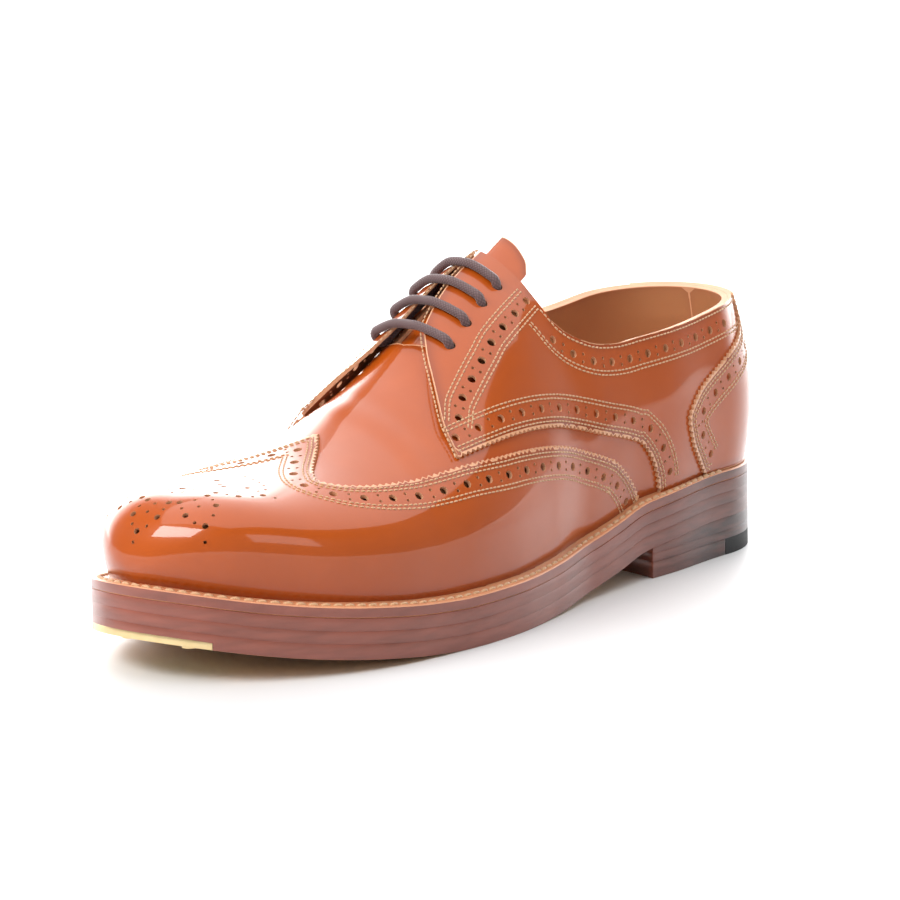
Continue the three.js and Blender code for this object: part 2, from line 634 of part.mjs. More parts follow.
// A quarter with its facing, laid over the vamp and punched for the lace
function addQuarter(name, side) {
  const front = [0.262, 0.266, 0.270, 0.280, 0.290, 0.312, 0.342];
  const facing = [FACING_TOP, 0.47, 0.50, 0.53, 0.555, 0.58, 0.602, 0.625, 0.640, 0.650];
  const stations = joined(rounded(0, 0.262, 8), front, even(0.342, 0.36, 1), TOPLINE_STATIONS, facing);
  const top = (station) => (station > FACING_TOP ? facingEdge(station) : upperTop(station, side, 0));
  const area = pattern([sideGrid(stations, side, quarterEdge, top, 10)]);
  const body = layer(GAP + LEATHER, GAP, true).intersect(area);
  const punched = EYELET_STATIONS.reduce((rest, station) => rest.subtract(eyelet(station, side)), body);
  add(name, geometryOf(punched), 'cognac');
}

function addCounter() {
  const shares = even(-1, 1, 16);
  const grid = even(0, 1, 10).map((level) => shares.map((share) => {
    const station = share * share * counterEdge(level);
    const side = share < 0 ? -1 : 1;
    return { station, girth: side * mix(1, upperTop(station, side, 0), level) };
  }));
  const under = 2 * GAP + LEATHER;
  add('heel_counter', geometryOf(layer(under + LEATHER, under).intersect(pattern([grid]))), 'cognac');
}

// Tongue under the throat, from the vamp to a little past the facings' top
function addTongue() {
  const top = FACING_TOP - TONGUE_REACH / SOLE_LENGTH;
  const grid = joined(even(top, 0.56, 5), [0.56, 0.60, 0.625]).map((station) => (
    even(-TONGUE_GIRTH, TONGUE_GIRTH, 6).map((girth) => ({ station, girth }))));
  const under = -WALL - GAP;
  add('tongue', geometryOf(layer(under, under - TONGUE).intersect(pattern([grid]))), 'lining');
}

// Lace bars, each from one eyelet over both facings to the other
function addLace() {
  const over = GAP + LEATHER + GAP + LACE_RADIUS;
  const route = [
    { girth: EYELET_GIRTH, height: GAP + LACE_RADIUS / 2 },
    { girth: EYELET_GIRTH, height: over - LACE_RADIUS / 2 },
    { girth: EYELET_GIRTH - 0.025, height: over },
    { girth: 0.12, height: over },
    { girth: 0.05, height: over },
  ];
  EYELET_STATIONS.forEach((station, i) => {
    const half = (side) => route.map(({ girth, height }) => (
      leather({ station, girth: side * girth }, height, true)));
    const path = new THREE.CatmullRomCurve3([...half(1), ...half(-1).reverse()]);
    const ring = new THREE.Shape().absarc(0, 0, LACE_RADIUS, 0, 2 * Math.PI);
    const tube = new THREE.ExtrudeGeometry(ring, { steps: 16, curveSegments: 4, extrudePath: path });
    add(`lace_bar_${i + 1}`, tube, 'lace');
  });
}

addSole();
addWelt();
addHeel();
addInsole();
addUpper();
addWingCap();
addQuarter('quarter_lateral', 1);
addQuarter('quarter_medial', -1);
addCounter();
addTongue();
addLace();

// The origin is at the middle of the bounding box, on the floor
const middle = new THREE.Box3().setFromObject(shoe).getCenter(new THREE.Vector3());
shoe.position.set(-middle.x, -middle.y, 0);

export default shoe;
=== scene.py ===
"""Full brogue derby, left shoe: the looks of every piece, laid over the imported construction.

Lengths inside the script are millimetres in the shoe's own frame (toe to -Y, lateral side to +X, floor at
z = 0) and become metres when a mesh is made. A place on the last is a spot: its station runs from the heel's
back (0) to the toe's tip (1), and its reach from the medial feather (-1) over the ridge (0) to the lateral
feather (1), by length of leather.
"""
import math
from types import SimpleNamespace

import bpy
import numpy as np
from bpy.props import FloatProperty, FloatVectorProperty, PointerProperty
from mathutils import Matrix, Vector, geometry


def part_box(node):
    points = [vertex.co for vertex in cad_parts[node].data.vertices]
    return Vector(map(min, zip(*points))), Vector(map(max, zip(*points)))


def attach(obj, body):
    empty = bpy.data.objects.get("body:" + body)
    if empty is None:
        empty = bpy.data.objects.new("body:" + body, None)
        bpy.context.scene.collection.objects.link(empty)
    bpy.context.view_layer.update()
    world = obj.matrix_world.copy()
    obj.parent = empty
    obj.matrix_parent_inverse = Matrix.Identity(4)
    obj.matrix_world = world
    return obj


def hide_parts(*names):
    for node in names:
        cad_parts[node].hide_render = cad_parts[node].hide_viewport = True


bl_info = {
    "name": "Full Brogue Derby",
    "version": (1, 0, 0),
    "blender": (4, 5, 0),
    "location": "View3D > Sidebar > Shoe",
    "description": "Dresses the packed derby: leather panels, seams, sole, laces and stage",
    "category": "Object",
}

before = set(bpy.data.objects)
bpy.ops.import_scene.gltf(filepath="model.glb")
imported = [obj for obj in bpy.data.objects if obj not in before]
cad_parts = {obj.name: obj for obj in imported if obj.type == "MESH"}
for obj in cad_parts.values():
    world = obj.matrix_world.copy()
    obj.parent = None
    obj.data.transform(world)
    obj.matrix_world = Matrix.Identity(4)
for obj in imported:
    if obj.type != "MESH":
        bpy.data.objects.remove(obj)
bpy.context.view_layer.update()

# Driving sizes, as in the construction
SOLE_LENGTH = 308.0
BALL_WIDTH = 108.0
INSTEP_HEIGHT = 104.0
TOE_HEIGHT = 32.0
COLLAR_HEIGHT = 62.0
HEEL_HEIGHT = 14.0
TOE_SPRING = 13.5
OUTSOLE = 5.0
MIDSOLE = 3.9
WELT = 3.7
WELT_SHOWS = 5.6
HEEL_EDGE = 2.0
HEEL_LENGTH = 89.0
HEEL_BREAST_CURVE = 7.0
TOP_PIECE = 6.0
RUBBER_LATERAL = 40.0
RUBBER_MEDIAL = 29.0
TOE_PLATE = 2.4
TOE_PLATE_LENGTH = 29.0
TOE_PLATE_INNER_WIDTH = 30.0
TOE_PLATE_SIDE_LENGTH = 10.0
TOE_PLATE_STATION = 0.95
TOE_PLATE_HALF_WIDTH = 0.24
LIFT_SHARE = 0.62
SCREWS = [(0.12, 0.47), (0.00, 0.70), (-0.10, 0.38)]
FACING_LIFT = 3.0
GAP = 0.3
LEATHER = 1.3
SOLE_STACK = OUTSOLE + 2 * MIDSOLE + WELT + 3 * GAP
SEAT = SOLE_STACK + GAP

# Sole outline: station, centre line and half width as shares of the ball width
OUTLINE = [
    (0.00, 0.005, 0.333), (0.15, 0.003, 0.343), (0.24, 0.009, 0.357), (0.32, 0.029, 0.340),
    (0.41, 0.057, 0.336), (0.50, 0.069, 0.378), (0.60, 0.045, 0.453), (0.68, 0.013, 0.491),
    (0.76, -0.015, 0.500), (0.84, -0.035, 0.489), (0.92, -0.060, 0.469), (1.00, -0.083, 0.447),
]
HEEL_ROUND = (0.125, 2.2)
TOE_ROUND = (0.246, 2.26)
# Underside: station, rise as shares of the heel height and of the toe spring
UNDERSIDE = [
    (0.00, 1.000, 0.00), (0.12, 1.000, 0.00), (0.29, 0.786, 0.00), (0.36, 0.471, 0.00),
    (0.44, 0.186, 0.00), (0.52, 0.036, 0.00), (0.58, 0.000, 0.00), (0.68, 0.000, 0.00),
    (0.74, 0.000, 0.07), (0.80, 0.000, 0.21), (0.87, 0.000, 0.41), (0.93, 0.000, 0.64),
    (1.00, 0.000, 1.00),
]
# Welt beside the upper: station, lateral and medial shares of WELT_SHOWS
WELT_EDGE = [
    (0.00, 0.36, 0.36), (0.20, 0.39, 0.39), (0.32, 0.63, 0.46), (0.45, 0.90, 0.57),
    (0.60, 1.00, 0.90), (0.75, 1.00, 1.00), (1.00, 1.00, 1.00),
]
# Last: station, lateral bulge, medial bulge, bulge height, instep, toe, ridge place, fullness
SECTIONS = [
    (0.00, 0.014, 0.014, 0.23, 1.080, 0.00, 0.009, 1.75),
    (0.12, 0.019, 0.019, 0.23, 1.100, 0.00, 0.009, 1.65),
    (0.25, 0.023, 0.019, 0.22, 1.100, 0.00, 0.000, 1.60),
    (0.36, 0.023, 0.023, 0.21, 1.045, 0.00, -0.009, 1.65),
    (0.44, 0.019, 0.028, 0.20, 0.950, 0.00, -0.019, 1.75),
    (0.50, 0.014, 0.032, 0.19, 0.865, 0.00, -0.028, 1.80),
    (0.58, 0.011, 0.023, 0.17, 0.705, 0.00, -0.032, 1.85),
    (0.66, 0.011, 0.014, 0.15, 0.470, 0.29, -0.037, 1.95),
    (0.74, 0.009, 0.009, 0.13, 0.260, 0.62, -0.042, 2.10),
    (0.82, 0.009, 0.009, 0.12, 0.100, 0.89, -0.051, 2.30),
    (0.90, 0.011, 0.011, 0.11, 0.020, 1.00, -0.065, 2.60),
    (1.00, 0.011, 0.011, 0.11, 0.000, 1.00, -0.079, 2.90),
]
BULGE_GIRTH = 0.2
TOE_DOME = (0.11, 2.6, 2.4)
TOE_PUSH = (0.2, 3.0)
HEEL_CURVE = (0.14, 2.2, 7.5)
# Topline above the feather: station, share of the collar height
TOPLINE = [
    (0.00, 1.00), (0.08, 0.97), (0.20, 0.92), (0.30, 0.93), (0.36, 1.00), (0.40, 1.10),
    (0.425, 1.22), (0.436, 1.38),
]
TOPLINE_END = 0.436
FACING_TOP = 0.442
THROAT = 0.605
# Pattern lines on the last: station and girth, the last's own angle share from ridge (0) to feather (1)
FACING_EDGE = [
    (0.442, 0.030), (0.500, 0.045), (0.555, 0.075), (0.580, 0.135), (0.602, 0.205),
    (0.625, 0.285), (0.640, 0.350), (0.650, 0.455),
]
QUARTER_EDGE = [
    (0.262, 1.00), (0.270, 0.94), (0.290, 0.85), (0.312, 0.79), (0.342, 0.745), (0.375, 0.71),
    (0.454, 0.63), (0.539, 0.555), (0.608, 0.49), (0.650, 0.46),
]
# Wing cap's edge: girth, station
WING_EDGE = [
    (0.00, 0.722), (0.05, 0.745), (0.17, 0.800), (0.23, 0.811), (0.30, 0.800), (0.36, 0.775),
    (0.42, 0.734), (0.50, 0.650), (0.60, 0.549), (0.70, 0.438), (0.79, 0.369), (0.90, 0.328),
    (1.00, 0.300),
]
# Heel counter's front edge: level from feather (0) to collar (1), station
COUNTER_EDGE = [
    (0.00, 0.165), (0.10, 0.180), (0.30, 0.205), (0.48, 0.214), (0.62, 0.190), (0.75, 0.120),
    (0.86, 0.055), (1.00, 0.035),
]
EYELET_STATIONS = (0.470, 0.501, 0.532, 0.563)
EYELET_GIRTH = 0.20
# Creases: station, slant per reach, middle reach, spread, width in mm, height in mm
CREASES = [
    (0.655, 0.05, 0.10, 0.45, 4.0, -0.30), (0.678, 0.05, 0.15, 0.45, 4.0, 0.18),
    (0.700, 0.06, 0.25, 0.40, 4.0, -0.22), (0.60, 0.10, -0.45, 0.25, 5.0, -0.25),
    (0.40, -0.15, 0.62, 0.16, 6.0, -0.30), (0.40, -0.15, -0.62, 0.16, 6.0, -0.30),
]
# Brogued strip beside the eyelets, and the hidden edges of vamp and tongue: station, girth
STRIP = [
    (0.622, 0.375), (0.602, 0.335), (0.571, 0.32), (0.543, 0.31), (0.517, 0.30), (0.492, 0.30),
    (0.466, 0.30), (0.442, 0.30),
]
VAMP_BACK = [
    (0.215, 1.0), (0.225, 0.94), (0.245, 0.83), (0.275, 0.74), (0.31, 0.67), (0.35, 0.63),
    (0.40, 0.58), (0.454, 0.53), (0.50, 0.49), (0.54, 0.44), (0.555, 0.38), (0.56, 0.30),
    (0.562, 0.20), (0.570, 0.10), (0.575, 0.0),
]
TONGUE_SIDE = [(0.64, 0.20), (0.60, 0.235), (0.50, 0.24), (0.45, 0.24)]
QUARTER_BACK = 0.262
QUARTER_FRONT = 0.650
COUNTER_FRONT = 0.165
LINING_STEP = 0.36
# Rows beside a gimped edge, in mm: two pairs of seams with the punched holes between them
SEAM_ROWS = (1.7, 3.1, 9.6, 11.0)
HOLE_ROW = 6.4
MEDALLION_STATION = 0.925

# Heights over the underside in mm: tops of the leather layers, with the gaps between them shared out
OUTSOLE_TOP = 5.15
MIDSOLE_LOWER_TOP = 9.35
MIDSOLE_UPPER_TOP = 13.6
# Welt's closed section: share of its width inwards, inset in mm, height in mm
WELT_SECTION = [
    (0, 0.0, 13.9), (0, 0.0, 16.9), (0, 0.35, 17.3), (0.3, 0.2, 17.4), (0.62, 0.0, 17.3),
    (0.8, 0.0, 17.5), (1.0, 0.0, 17.72), (1.0, 2.0, 17.72), (1.0, 10.0, 17.4),
    (1.0, 10.5, 13.7), (0, 0.3, 13.6),
]
WELT_SEAM = (0.42, 17.55)
CHANNEL_INSET = 21.0
# Pins underfoot: station, side, distance from the edge to a triangle's base in mm
PIN_PITCH = 4.2
PIN_RADIUS = 0.95
STEEL_PIN_RADIUS = 0.8
FOREFOOT_PINS = [
    (0.515, 1, 14), (0.590, 1, 14), (0.663, 1, 14), (0.585, -1, 14), (0.655, -1, 14), (0.722, -1, 14),
]
HEEL_PINS = [(0.165, 1, 14), (0.222, 1, 14), (0.126, -1, 14), (0.190, -1, 14), (0.244, -1, 14)]
STEEL_PINS = [(0.141, 1, 20), (0.110, -1, 9)]
SMOOTH_ANGLE = math.radians(35)

# Softboxes: name, place, size and power
LIGHTS = [
    ("overhead", (0.0, 0.35, 2.3), (3.6, 3.6), 74.0), ("front", (-0.35, -1.9, 1.85), (2.4, 0.9), 80.0),
    ("side", (2.4, -0.6, 1.2), (1.2, 0.8), 6.0), ("rear", (-0.7, 2.2, 1.2), (1.0, 0.6), 6.0),
]
BACKDROP = 6.5
ROOM = 0.13
CAMERA_ANGLES = (38.8, 10.2, 0.8)
CAMERA_AIM = (0.0, 0.0, 0.052)
CAMERA_DISTANCE = 1.3
CAMERA_LENS = 150.0



def smooth_column(rows, column):
    """Curve through one column of a table that never overshoots between two rows."""
    table = np.array(rows, float)
    x, y = table[:, 0], table[:, column]
    steps = np.diff(y) / np.diff(x)
    before, after = steps[:-1], steps[1:]
    same = before * after > 0
    inner = np.where(same, 2 * before * after / np.where(same, before + after, 1), 0)
    slopes = np.concatenate(([steps[0]], inner, [steps[-1]]))

    def curve(at):
        at = np.clip(np.asarray(at, float), x[0], x[-1])
        i = np.clip(np.searchsorted(x, at, side="right") - 1, 0, len(x) - 2)
        width = x[i + 1] - x[i]
        t = (at - x[i]) / width
        bend = slopes[i] * t * (1 - t) ** 2 - slopes[i + 1] * t * t * (1 - t)
        return y[i] + (y[i + 1] - y[i]) * t * t * (3 - 2 * t) + bend * width

    return curve


outline_centre, outline_half = (smooth_column(OUTLINE, i) for i in (1, 2))
underside_heel, underside_toe = (smooth_column(UNDERSIDE, i) for i in (1, 2))
welt_lateral, welt_medial = (smooth_column(WELT_EDGE, i) for i in (1, 2))
bulge_out, bulge_in, waist_at, instep_at, toe_at, ridge_at, fullness = (
    smooth_column(SECTIONS, i) for i in range(1, 8)
)
topline = smooth_column(TOPLINE, 1)
facing_edge = smooth_column(FACING_EDGE, 1)
quarter_edge = smooth_column(QUARTER_EDGE, 1)
wing_edge = smooth_column(WING_EDGE, 1)
counter_edge = smooth_column(COUNTER_EDGE, 1)


def smooth_step(value):
    """Soft step from 0 to 1."""
    value = np.clip(value, 0, 1)
    return value * value * (3 - 2 * value)


def rounding(station):
    """Share of the half width that is left near the round ends."""
    heel = np.clip((HEEL_ROUND[0] - station) / HEEL_ROUND[0], 0, 1)
    toe = np.clip((station - 1 + TOE_ROUND[0]) / TOE_ROUND[0], 0, 1)
    return np.sqrt((1 - heel ** HEEL_ROUND[1]) * (1 - toe ** TOE_ROUND[1]))


def underside(y):
    """Height of the outsole's underside at a place along the shoe."""
    station = (SOLE_LENGTH / 2 - y) / SOLE_LENGTH
    return HEEL_HEIGHT * underside_heel(station) + TOE_SPRING * underside_toe(station)


def outline(station, side, welt_share=0.0, inset=0.0):
    """A point on the sole's outline, or inside it by a share of the welt and a plain inset."""
    heel_inset = welt_share * HEEL_EDGE + inset
    toe_inset = welt_share * WELT_SHOWS + inset
    y = SOLE_LENGTH / 2 - heel_inset - (SOLE_LENGTH - heel_inset - toe_inset) * station
    shows = WELT_SHOWS * np.where(side > 0, welt_lateral(station), welt_medial(station))
    half = BALL_WIDTH * outline_half(station) - welt_share * shows - inset
    return BALL_WIDTH * outline_centre(station) + side * half * rounding(station), y


SOLE_BOX = [np.array(corner) * 1000 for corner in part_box("midsole_upper")]
_outline_x = np.concatenate([outline(np.linspace(0, 1, 2001), side)[0] for side in (1, -1)])
ORIGIN = np.array([
    (SOLE_BOX[0][0] + SOLE_BOX[1][0] - _outline_x.max() - _outline_x.min()) / 2,
    (SOLE_BOX[0][1] + SOLE_BOX[1][1]) / 2,
    0.0,
])


def last_point(angle, girth):
    """Point on the last; the angle runs over 0..pi from heel to toe, girth over -1..1."""
    angle, girth = np.broadcast_arrays(np.asarray(angle, float), np.asarray(girth, float))
    girth = np.where((angle < 0) | (angle > math.pi), -girth, girth)
    angle = np.abs(angle)
    angle = np.where(angle > math.pi, 2 * math.pi - angle, angle)
    station = (1 - np.cos(angle)) / 2
    side = np.where(girth < 0, -1.0, 1.0)
    up = 1 - np.abs(girth)
    feather_x, feather_y = outline(station, side, 1.0)
    ends = rounding(station)
    centre = BALL_WIDTH * outline_centre(station)
    toe = np.clip((station - 1 + TOE_DOME[0]) / TOE_DOME[0], 0, 1)
    dome = (1 - toe ** TOE_DOME[1]) ** (1 / TOE_DOME[2])
    top = (instep_at(station) * INSTEP_HEIGHT + toe_at(station) * TOE_HEIGHT) * dome
    waist = np.minimum(waist_at(station) * INSTEP_HEIGHT * (0.35 + 0.65 * dome), 0.45 * top)
    bulge = np.where(side > 0, bulge_out(station), bulge_in(station))
    out = BALL_WIDTH * np.minimum(1, 1.5 * ends) * bulge
    ridge = centre + (ridge_at(station) * BALL_WIDTH - centre) * np.minimum(1, 1.2 * ends)
    low = np.clip(up / BULGE_GIRTH, 0, 1)
    turn = np.clip((up - BULGE_GIRTH) / (1 - BULGE_GIRTH), 0, 1) * math.pi / 2
    power = 2 / fullness(station)
    cosine = np.clip(np.cos(turn), 0, 1) ** power
    sine = np.sin(turn) ** power
    below = up < BULGE_GIRTH
    x_low = feather_x + side * out * (1 - (1 - low) ** 2)
    x = np.where(below, x_low, ridge + (feather_x + side * out - ridge) * cosine)
    z = np.where(below, waist * low, waist + (top - waist) * sine)
    front = np.clip((station - 1 + TOE_PUSH[0]) / TOE_PUSH[0], 0, 1) ** 2
    rise = 1 - np.clip(z / (0.375 * TOE_HEIGHT), 0, 1)
    back = np.clip(1 - station / HEEL_CURVE[0], 0, 1)
    height = z / COLLAR_HEIGHT
    back_out = HEEL_CURVE[1] * np.sin(math.pi * np.clip(height / 0.8, 0, 1))
    back_in = HEEL_CURVE[2] * np.clip((height - 0.39) / 0.72, 0, 1.3) ** 1.6
    y = feather_y - front * TOE_PUSH[1] * (1 - rise * rise) + back * (back_out - back_in)
    return np.stack([x, y, underside(feather_y) + SEAT + z], axis=-1)


def angle_of(station):
    """Angle over 0..pi that crowds together at heel and toe."""
    return np.arccos(np.clip(1 - 2 * np.asarray(station, float), -1, 1))


# Lengths of leather over the last: girths to reaches, and distances along the ridge and the waist
ANGLES = np.linspace(0, math.pi, 361)
SHARES = np.linspace(0, 1, 161)
STATIONS = (1 - np.cos(ANGLES)) / 2


def _length_tables():
    """Length of leather from the ridge down each side, for each angle."""
    tables = {}
    for side in (1, -1):
        points = last_point(ANGLES[:, None], side * SHARES[None, :])
        steps = np.linalg.norm(np.diff(points, axis=1), axis=-1)
        tables[side] = np.concatenate([np.zeros((len(ANGLES), 1)), np.cumsum(steps, axis=1)], axis=1)
    return tables


ARCS = _length_tables()
GIRTH_LENGTH = {side: ARCS[side][:, -1] for side in (1, -1)}
REACH_TO_GIRTH = {
    side: np.array([
        np.interp(SHARES * max(row[-1], 1e-9), row, SHARES) for row in ARCS[side]
    ]) for side in (1, -1)
}


def _run_length(girth):
    """Distance along the last from heel to toe at one girth."""
    points = last_point(ANGLES, girth)
    return np.concatenate([[0], np.cumsum(np.linalg.norm(np.diff(points, axis=0), axis=1))])


RIDGE_RUN = _run_length(0.0)
WAIST_RUN = (_run_length(0.8) + _run_length(-0.8)) / 2


def _table_at(table, station, share):
    """Value of a table with a row for each angle and a column for each share."""
    row = angle_of(station) / math.pi * (len(ANGLES) - 1)
    column = np.clip(share, 0, 1) * (len(SHARES) - 1)
    i = np.clip(row.astype(int), 0, len(ANGLES) - 2)
    j = np.clip(column.astype(int), 0, len(SHARES) - 2)
    s, t = row - i, column - j
    near = table[i, j] * (1 - t) + table[i, j + 1] * t
    far = table[i + 1, j] * (1 - t) + table[i + 1, j + 1] * t
    return near * (1 - s) + far * s


def girth_at(station, reach):
    """Girth of a spot from its reach."""
    station, reach = np.broadcast_arrays(np.asarray(station, float), np.asarray(reach, float))
    lateral = _table_at(REACH_TO_GIRTH[1], station, np.abs(reach))
    medial = _table_at(REACH_TO_GIRTH[-1], station, np.abs(reach))
    return np.where(reach >= 0, lateral, -medial)


def reach_at(station, girth):
    """Reach of a spot from its girth."""
    station, girth = np.broadcast_arrays(np.asarray(station, float), np.asarray(girth, float))
    side = np.where(girth >= 0, 1, -1)
    lateral = _table_at(ARCS[1], station, np.abs(girth)) / half_girth(station, 1)
    medial = _table_at(ARCS[-1], station, np.abs(girth)) / half_girth(station, -1)
    return np.where(side > 0, lateral, -medial)


def half_girth(station, side):
    """Length of leather from the ridge to the feather on one side."""
    lateral = np.interp(angle_of(station), ANGLES, GIRTH_LENGTH[1])
    medial = np.interp(angle_of(station), ANGLES, GIRTH_LENGTH[-1])
    return np.maximum(np.where(np.asarray(side) > 0, lateral, medial), 1e-6)


def facing_lift(station, reach):
    """How far a facing stands clear of the vamp beneath it."""
    along = smooth_step((station - 0.40) / 0.12) * smooth_step((0.74 - station) / 0.10)
    across = smooth_step(1.5 * (1 - np.abs(reach) / 0.55))
    return FACING_LIFT * along * across


def creases(spots):
    """Soft troughs and ridges of the leather where the foot flexes."""
    height = np.zeros(spots.shape[:-1])
    for station, slant, centre, spread, width, depth in CREASES:
        line = station + slant * (spots[..., 1] - centre)
        across = (spots[..., 0] - line) * SOLE_LENGTH / width
        height += depth * np.exp(-across ** 2 - ((spots[..., 1] - centre) / spread) ** 2)
    return height


def surface(spots, height=0.0, lifted=False):
    """Points on the leather's outer face, raised by a height, and the plain last's normals."""
    station, reach = spots[..., 0], spots[..., 1]
    angle = angle_of(station)
    step = 0.002
    low, high = np.maximum(-1, reach - step), np.minimum(1, reach + step)
    point = last_point(angle, girth_at(station, reach))
    around = last_point(angle, girth_at(station, high)) - last_point(angle, girth_at(station, low))
    ahead = last_point(angle + step, girth_at_angle(angle + step, reach))
    behind = last_point(angle - step, girth_at_angle(angle - step, reach))
    normal = np.cross(ahead - behind, around)
    length = np.linalg.norm(normal, axis=-1, keepdims=True)
    normal = np.where(length > 1e-9, normal / np.maximum(length, 1e-9), np.array([0.0, -1.0, 0.0]))
    lift = creases(spots) + (facing_lift(station, reach) if lifted else 0.0)
    moved = point + normal * np.broadcast_to(height + lift, station.shape)[..., None]
    moved[..., 2] = np.where(np.abs(reach) > 1 - 1e-9, point[..., 2], moved[..., 2])
    return moved + ORIGIN, normal


def girth_at_angle(angle, reach):
    """Girth for an angle that may run past either end, where both sides meet."""
    folded = np.abs(angle)
    folded = np.where(folded > math.pi, 2 * math.pi - folded, folded)
    passed = (angle < 0) | (angle > math.pi)
    station = (1 - np.cos(folded)) / 2
    return np.where(passed, -girth_at(station, -reach), girth_at(station, reach))


def spots_of(station, girth):
    """Spots from stations and girths."""
    station, girth = np.broadcast_arrays(np.asarray(station, float), np.asarray(girth, float))
    return np.stack([station, reach_at(station, girth)], axis=-1)


class FrontPlane:
    """Flat plan of the front: reach across and the ridge's run along, both in millimetres."""

    @staticmethod
    def flat(spots):
        side = np.where(spots[..., 1] >= 0, 1, -1)
        across = spots[..., 1] * half_girth(spots[..., 0], side)
        return np.stack([across, np.interp(spots[..., 0], STATIONS, RIDGE_RUN)], axis=-1)

    @staticmethod
    def spots(flat):
        station = np.interp(flat[..., 1], RIDGE_RUN, STATIONS)
        side = np.where(flat[..., 0] >= 0, 1, -1)
        return np.stack([station, np.clip(flat[..., 0] / half_girth(station, side), -1, 1)], axis=-1)


class RearPlane:
    """Flat plan of a side or the back: the waist's run along and the height of leather up."""

    def __init__(self, side=0):
        self.side = side

    def flat(self, spots):
        side = np.where(spots[..., 1] >= 0, 1, -1)
        along = np.interp(spots[..., 0], STATIONS, WAIST_RUN) * (side if self.side == 0 else 1)
        return np.stack([along, (1 - np.abs(spots[..., 1])) * half_girth(spots[..., 0], side)], axis=-1)

    def spots(self, flat):
        side = np.where(flat[..., 0] >= 0, 1, -1) if self.side == 0 else self.side
        station = np.interp(np.abs(flat[..., 0]), WAIST_RUN, STATIONS)
        reach = 1 - flat[..., 1] / half_girth(station, side)
        return np.stack([station, side * np.clip(reach, 0, 1)], axis=-1)


def partials(spots, lifted=False, height=0.0):
    """How the surface moves with a spot's angle and reach."""
    step = 0.002
    angle = angle_of(spots[..., 0])

    def at(a, reach):
        a = np.clip(a, 0, math.pi)
        return surface(np.stack([(1 - np.cos(a)) / 2, np.clip(reach, -1, 1)], axis=-1), height, lifted)[0]

    d_angle = (at(angle + step, spots[..., 1]) - at(angle - step, spots[..., 1])) / (2 * step)
    d_reach = (at(angle, spots[..., 1] + step) - at(angle, spots[..., 1] - step)) / (2 * step)
    return d_angle, d_reach


def true_normals(spots, height=0.0, lifted=False):
    """Outward normals of the raised and creased surface."""
    d_angle, d_reach = partials(spots, lifted, height)
    normal = np.cross(d_angle, d_reach)
    length = np.linalg.norm(normal, axis=-1, keepdims=True)
    plain = surface(spots)[1]
    normal = np.where(length > 1e-4, normal / np.maximum(length, 1e-9), plain)
    return np.where((normal * plain).sum(-1, keepdims=True) < 0, -normal, normal)


def walk(spots, direction, distance, steps=1):
    """Spots moved over the surface in a direction by a distance."""
    for _ in range(steps):
        d_angle, d_reach = partials(spots)
        aa, rr = (d_angle ** 2).sum(-1), (d_reach ** 2).sum(-1)
        ar = (d_angle * d_reach).sum(-1)
        pa, pr = (d_angle * direction).sum(-1), (d_reach * direction).sum(-1)
        det = np.maximum(aa * rr - ar * ar, 1e-9)
        move = np.asarray(distance) / steps
        angle = angle_of(spots[..., 0]) + (pa * rr - pr * ar) / det * move
        reach = spots[..., 1] + (pr * aa - pa * ar) / det * move
        spots = np.stack([(1 - np.cos(np.clip(angle, 0, math.pi))) / 2, np.clip(reach, -1, 1)], axis=-1)
    return spots


def resample(spots, pitch, closed=False):
    """Spots evenly spaced along a line, about a pitch apart."""
    if closed:
        spots = np.vstack([spots, spots[:1]])
    points = surface(spots)[0]
    run = np.concatenate([[0], np.cumsum(np.linalg.norm(np.diff(points, axis=0), axis=1))])
    count = max(2, int(round(run[-1] / pitch)) + 1)
    at = np.linspace(0, run[-1], count)
    angle = np.interp(at, run, angle_of(spots[:, 0]))
    line = np.stack([(1 - np.cos(angle)) / 2, np.interp(at, run, spots[:, 1])], axis=-1)
    return line[:-1] if closed else line


def inward(spots, flip=1):
    """Direction square to a line within the surface, to its left or right."""
    points, normal = surface(spots)
    tangent = np.gradient(points, axis=0)
    square = np.cross(normal, tangent)
    return flip * square / np.maximum(np.linalg.norm(square, axis=-1, keepdims=True), 1e-9)


def parallel(spots, distance, flip=1):
    """Line beside another at a distance, without the loops of a tight bend."""
    line = resample(spots, 1.5)
    parts = max(1, int(abs(distance) / 2.5))
    for _ in range(parts):
        line = walk(line, inward(line, flip), distance / parts)
    apart = nearest(surface(line)[0], surface(resample(spots, 0.5))[0])
    return line[apart > 0.93 * abs(distance)]


def gimped(spots, flip, tooth=2.4, depth=0.9):
    """Pinked edge: a zigzag about the line."""
    line = resample(spots, tooth / 2)
    swing = np.where(np.arange(len(line)) % 2 == 0, 0.5, -0.5) * depth
    swing[0] = swing[-1] = 0
    return walk(line, inward(line, flip), swing)


def hole_loops(centres, radius, sides):
    """Round loops of spots about each centre."""
    d_angle, d_reach = partials(centres)
    first = d_reach / np.linalg.norm(d_reach, axis=-1, keepdims=True)
    second = d_angle - (d_angle * first).sum(-1, keepdims=True) * first
    second /= np.linalg.norm(second, axis=-1, keepdims=True)
    loops = []
    for turn in np.arange(sides) * 2 * math.pi / sides:
        direction = math.cos(turn) * first + math.sin(turn) * second
        loops.append(walk(centres, direction, radius))
    return list(np.stack(loops, axis=1))


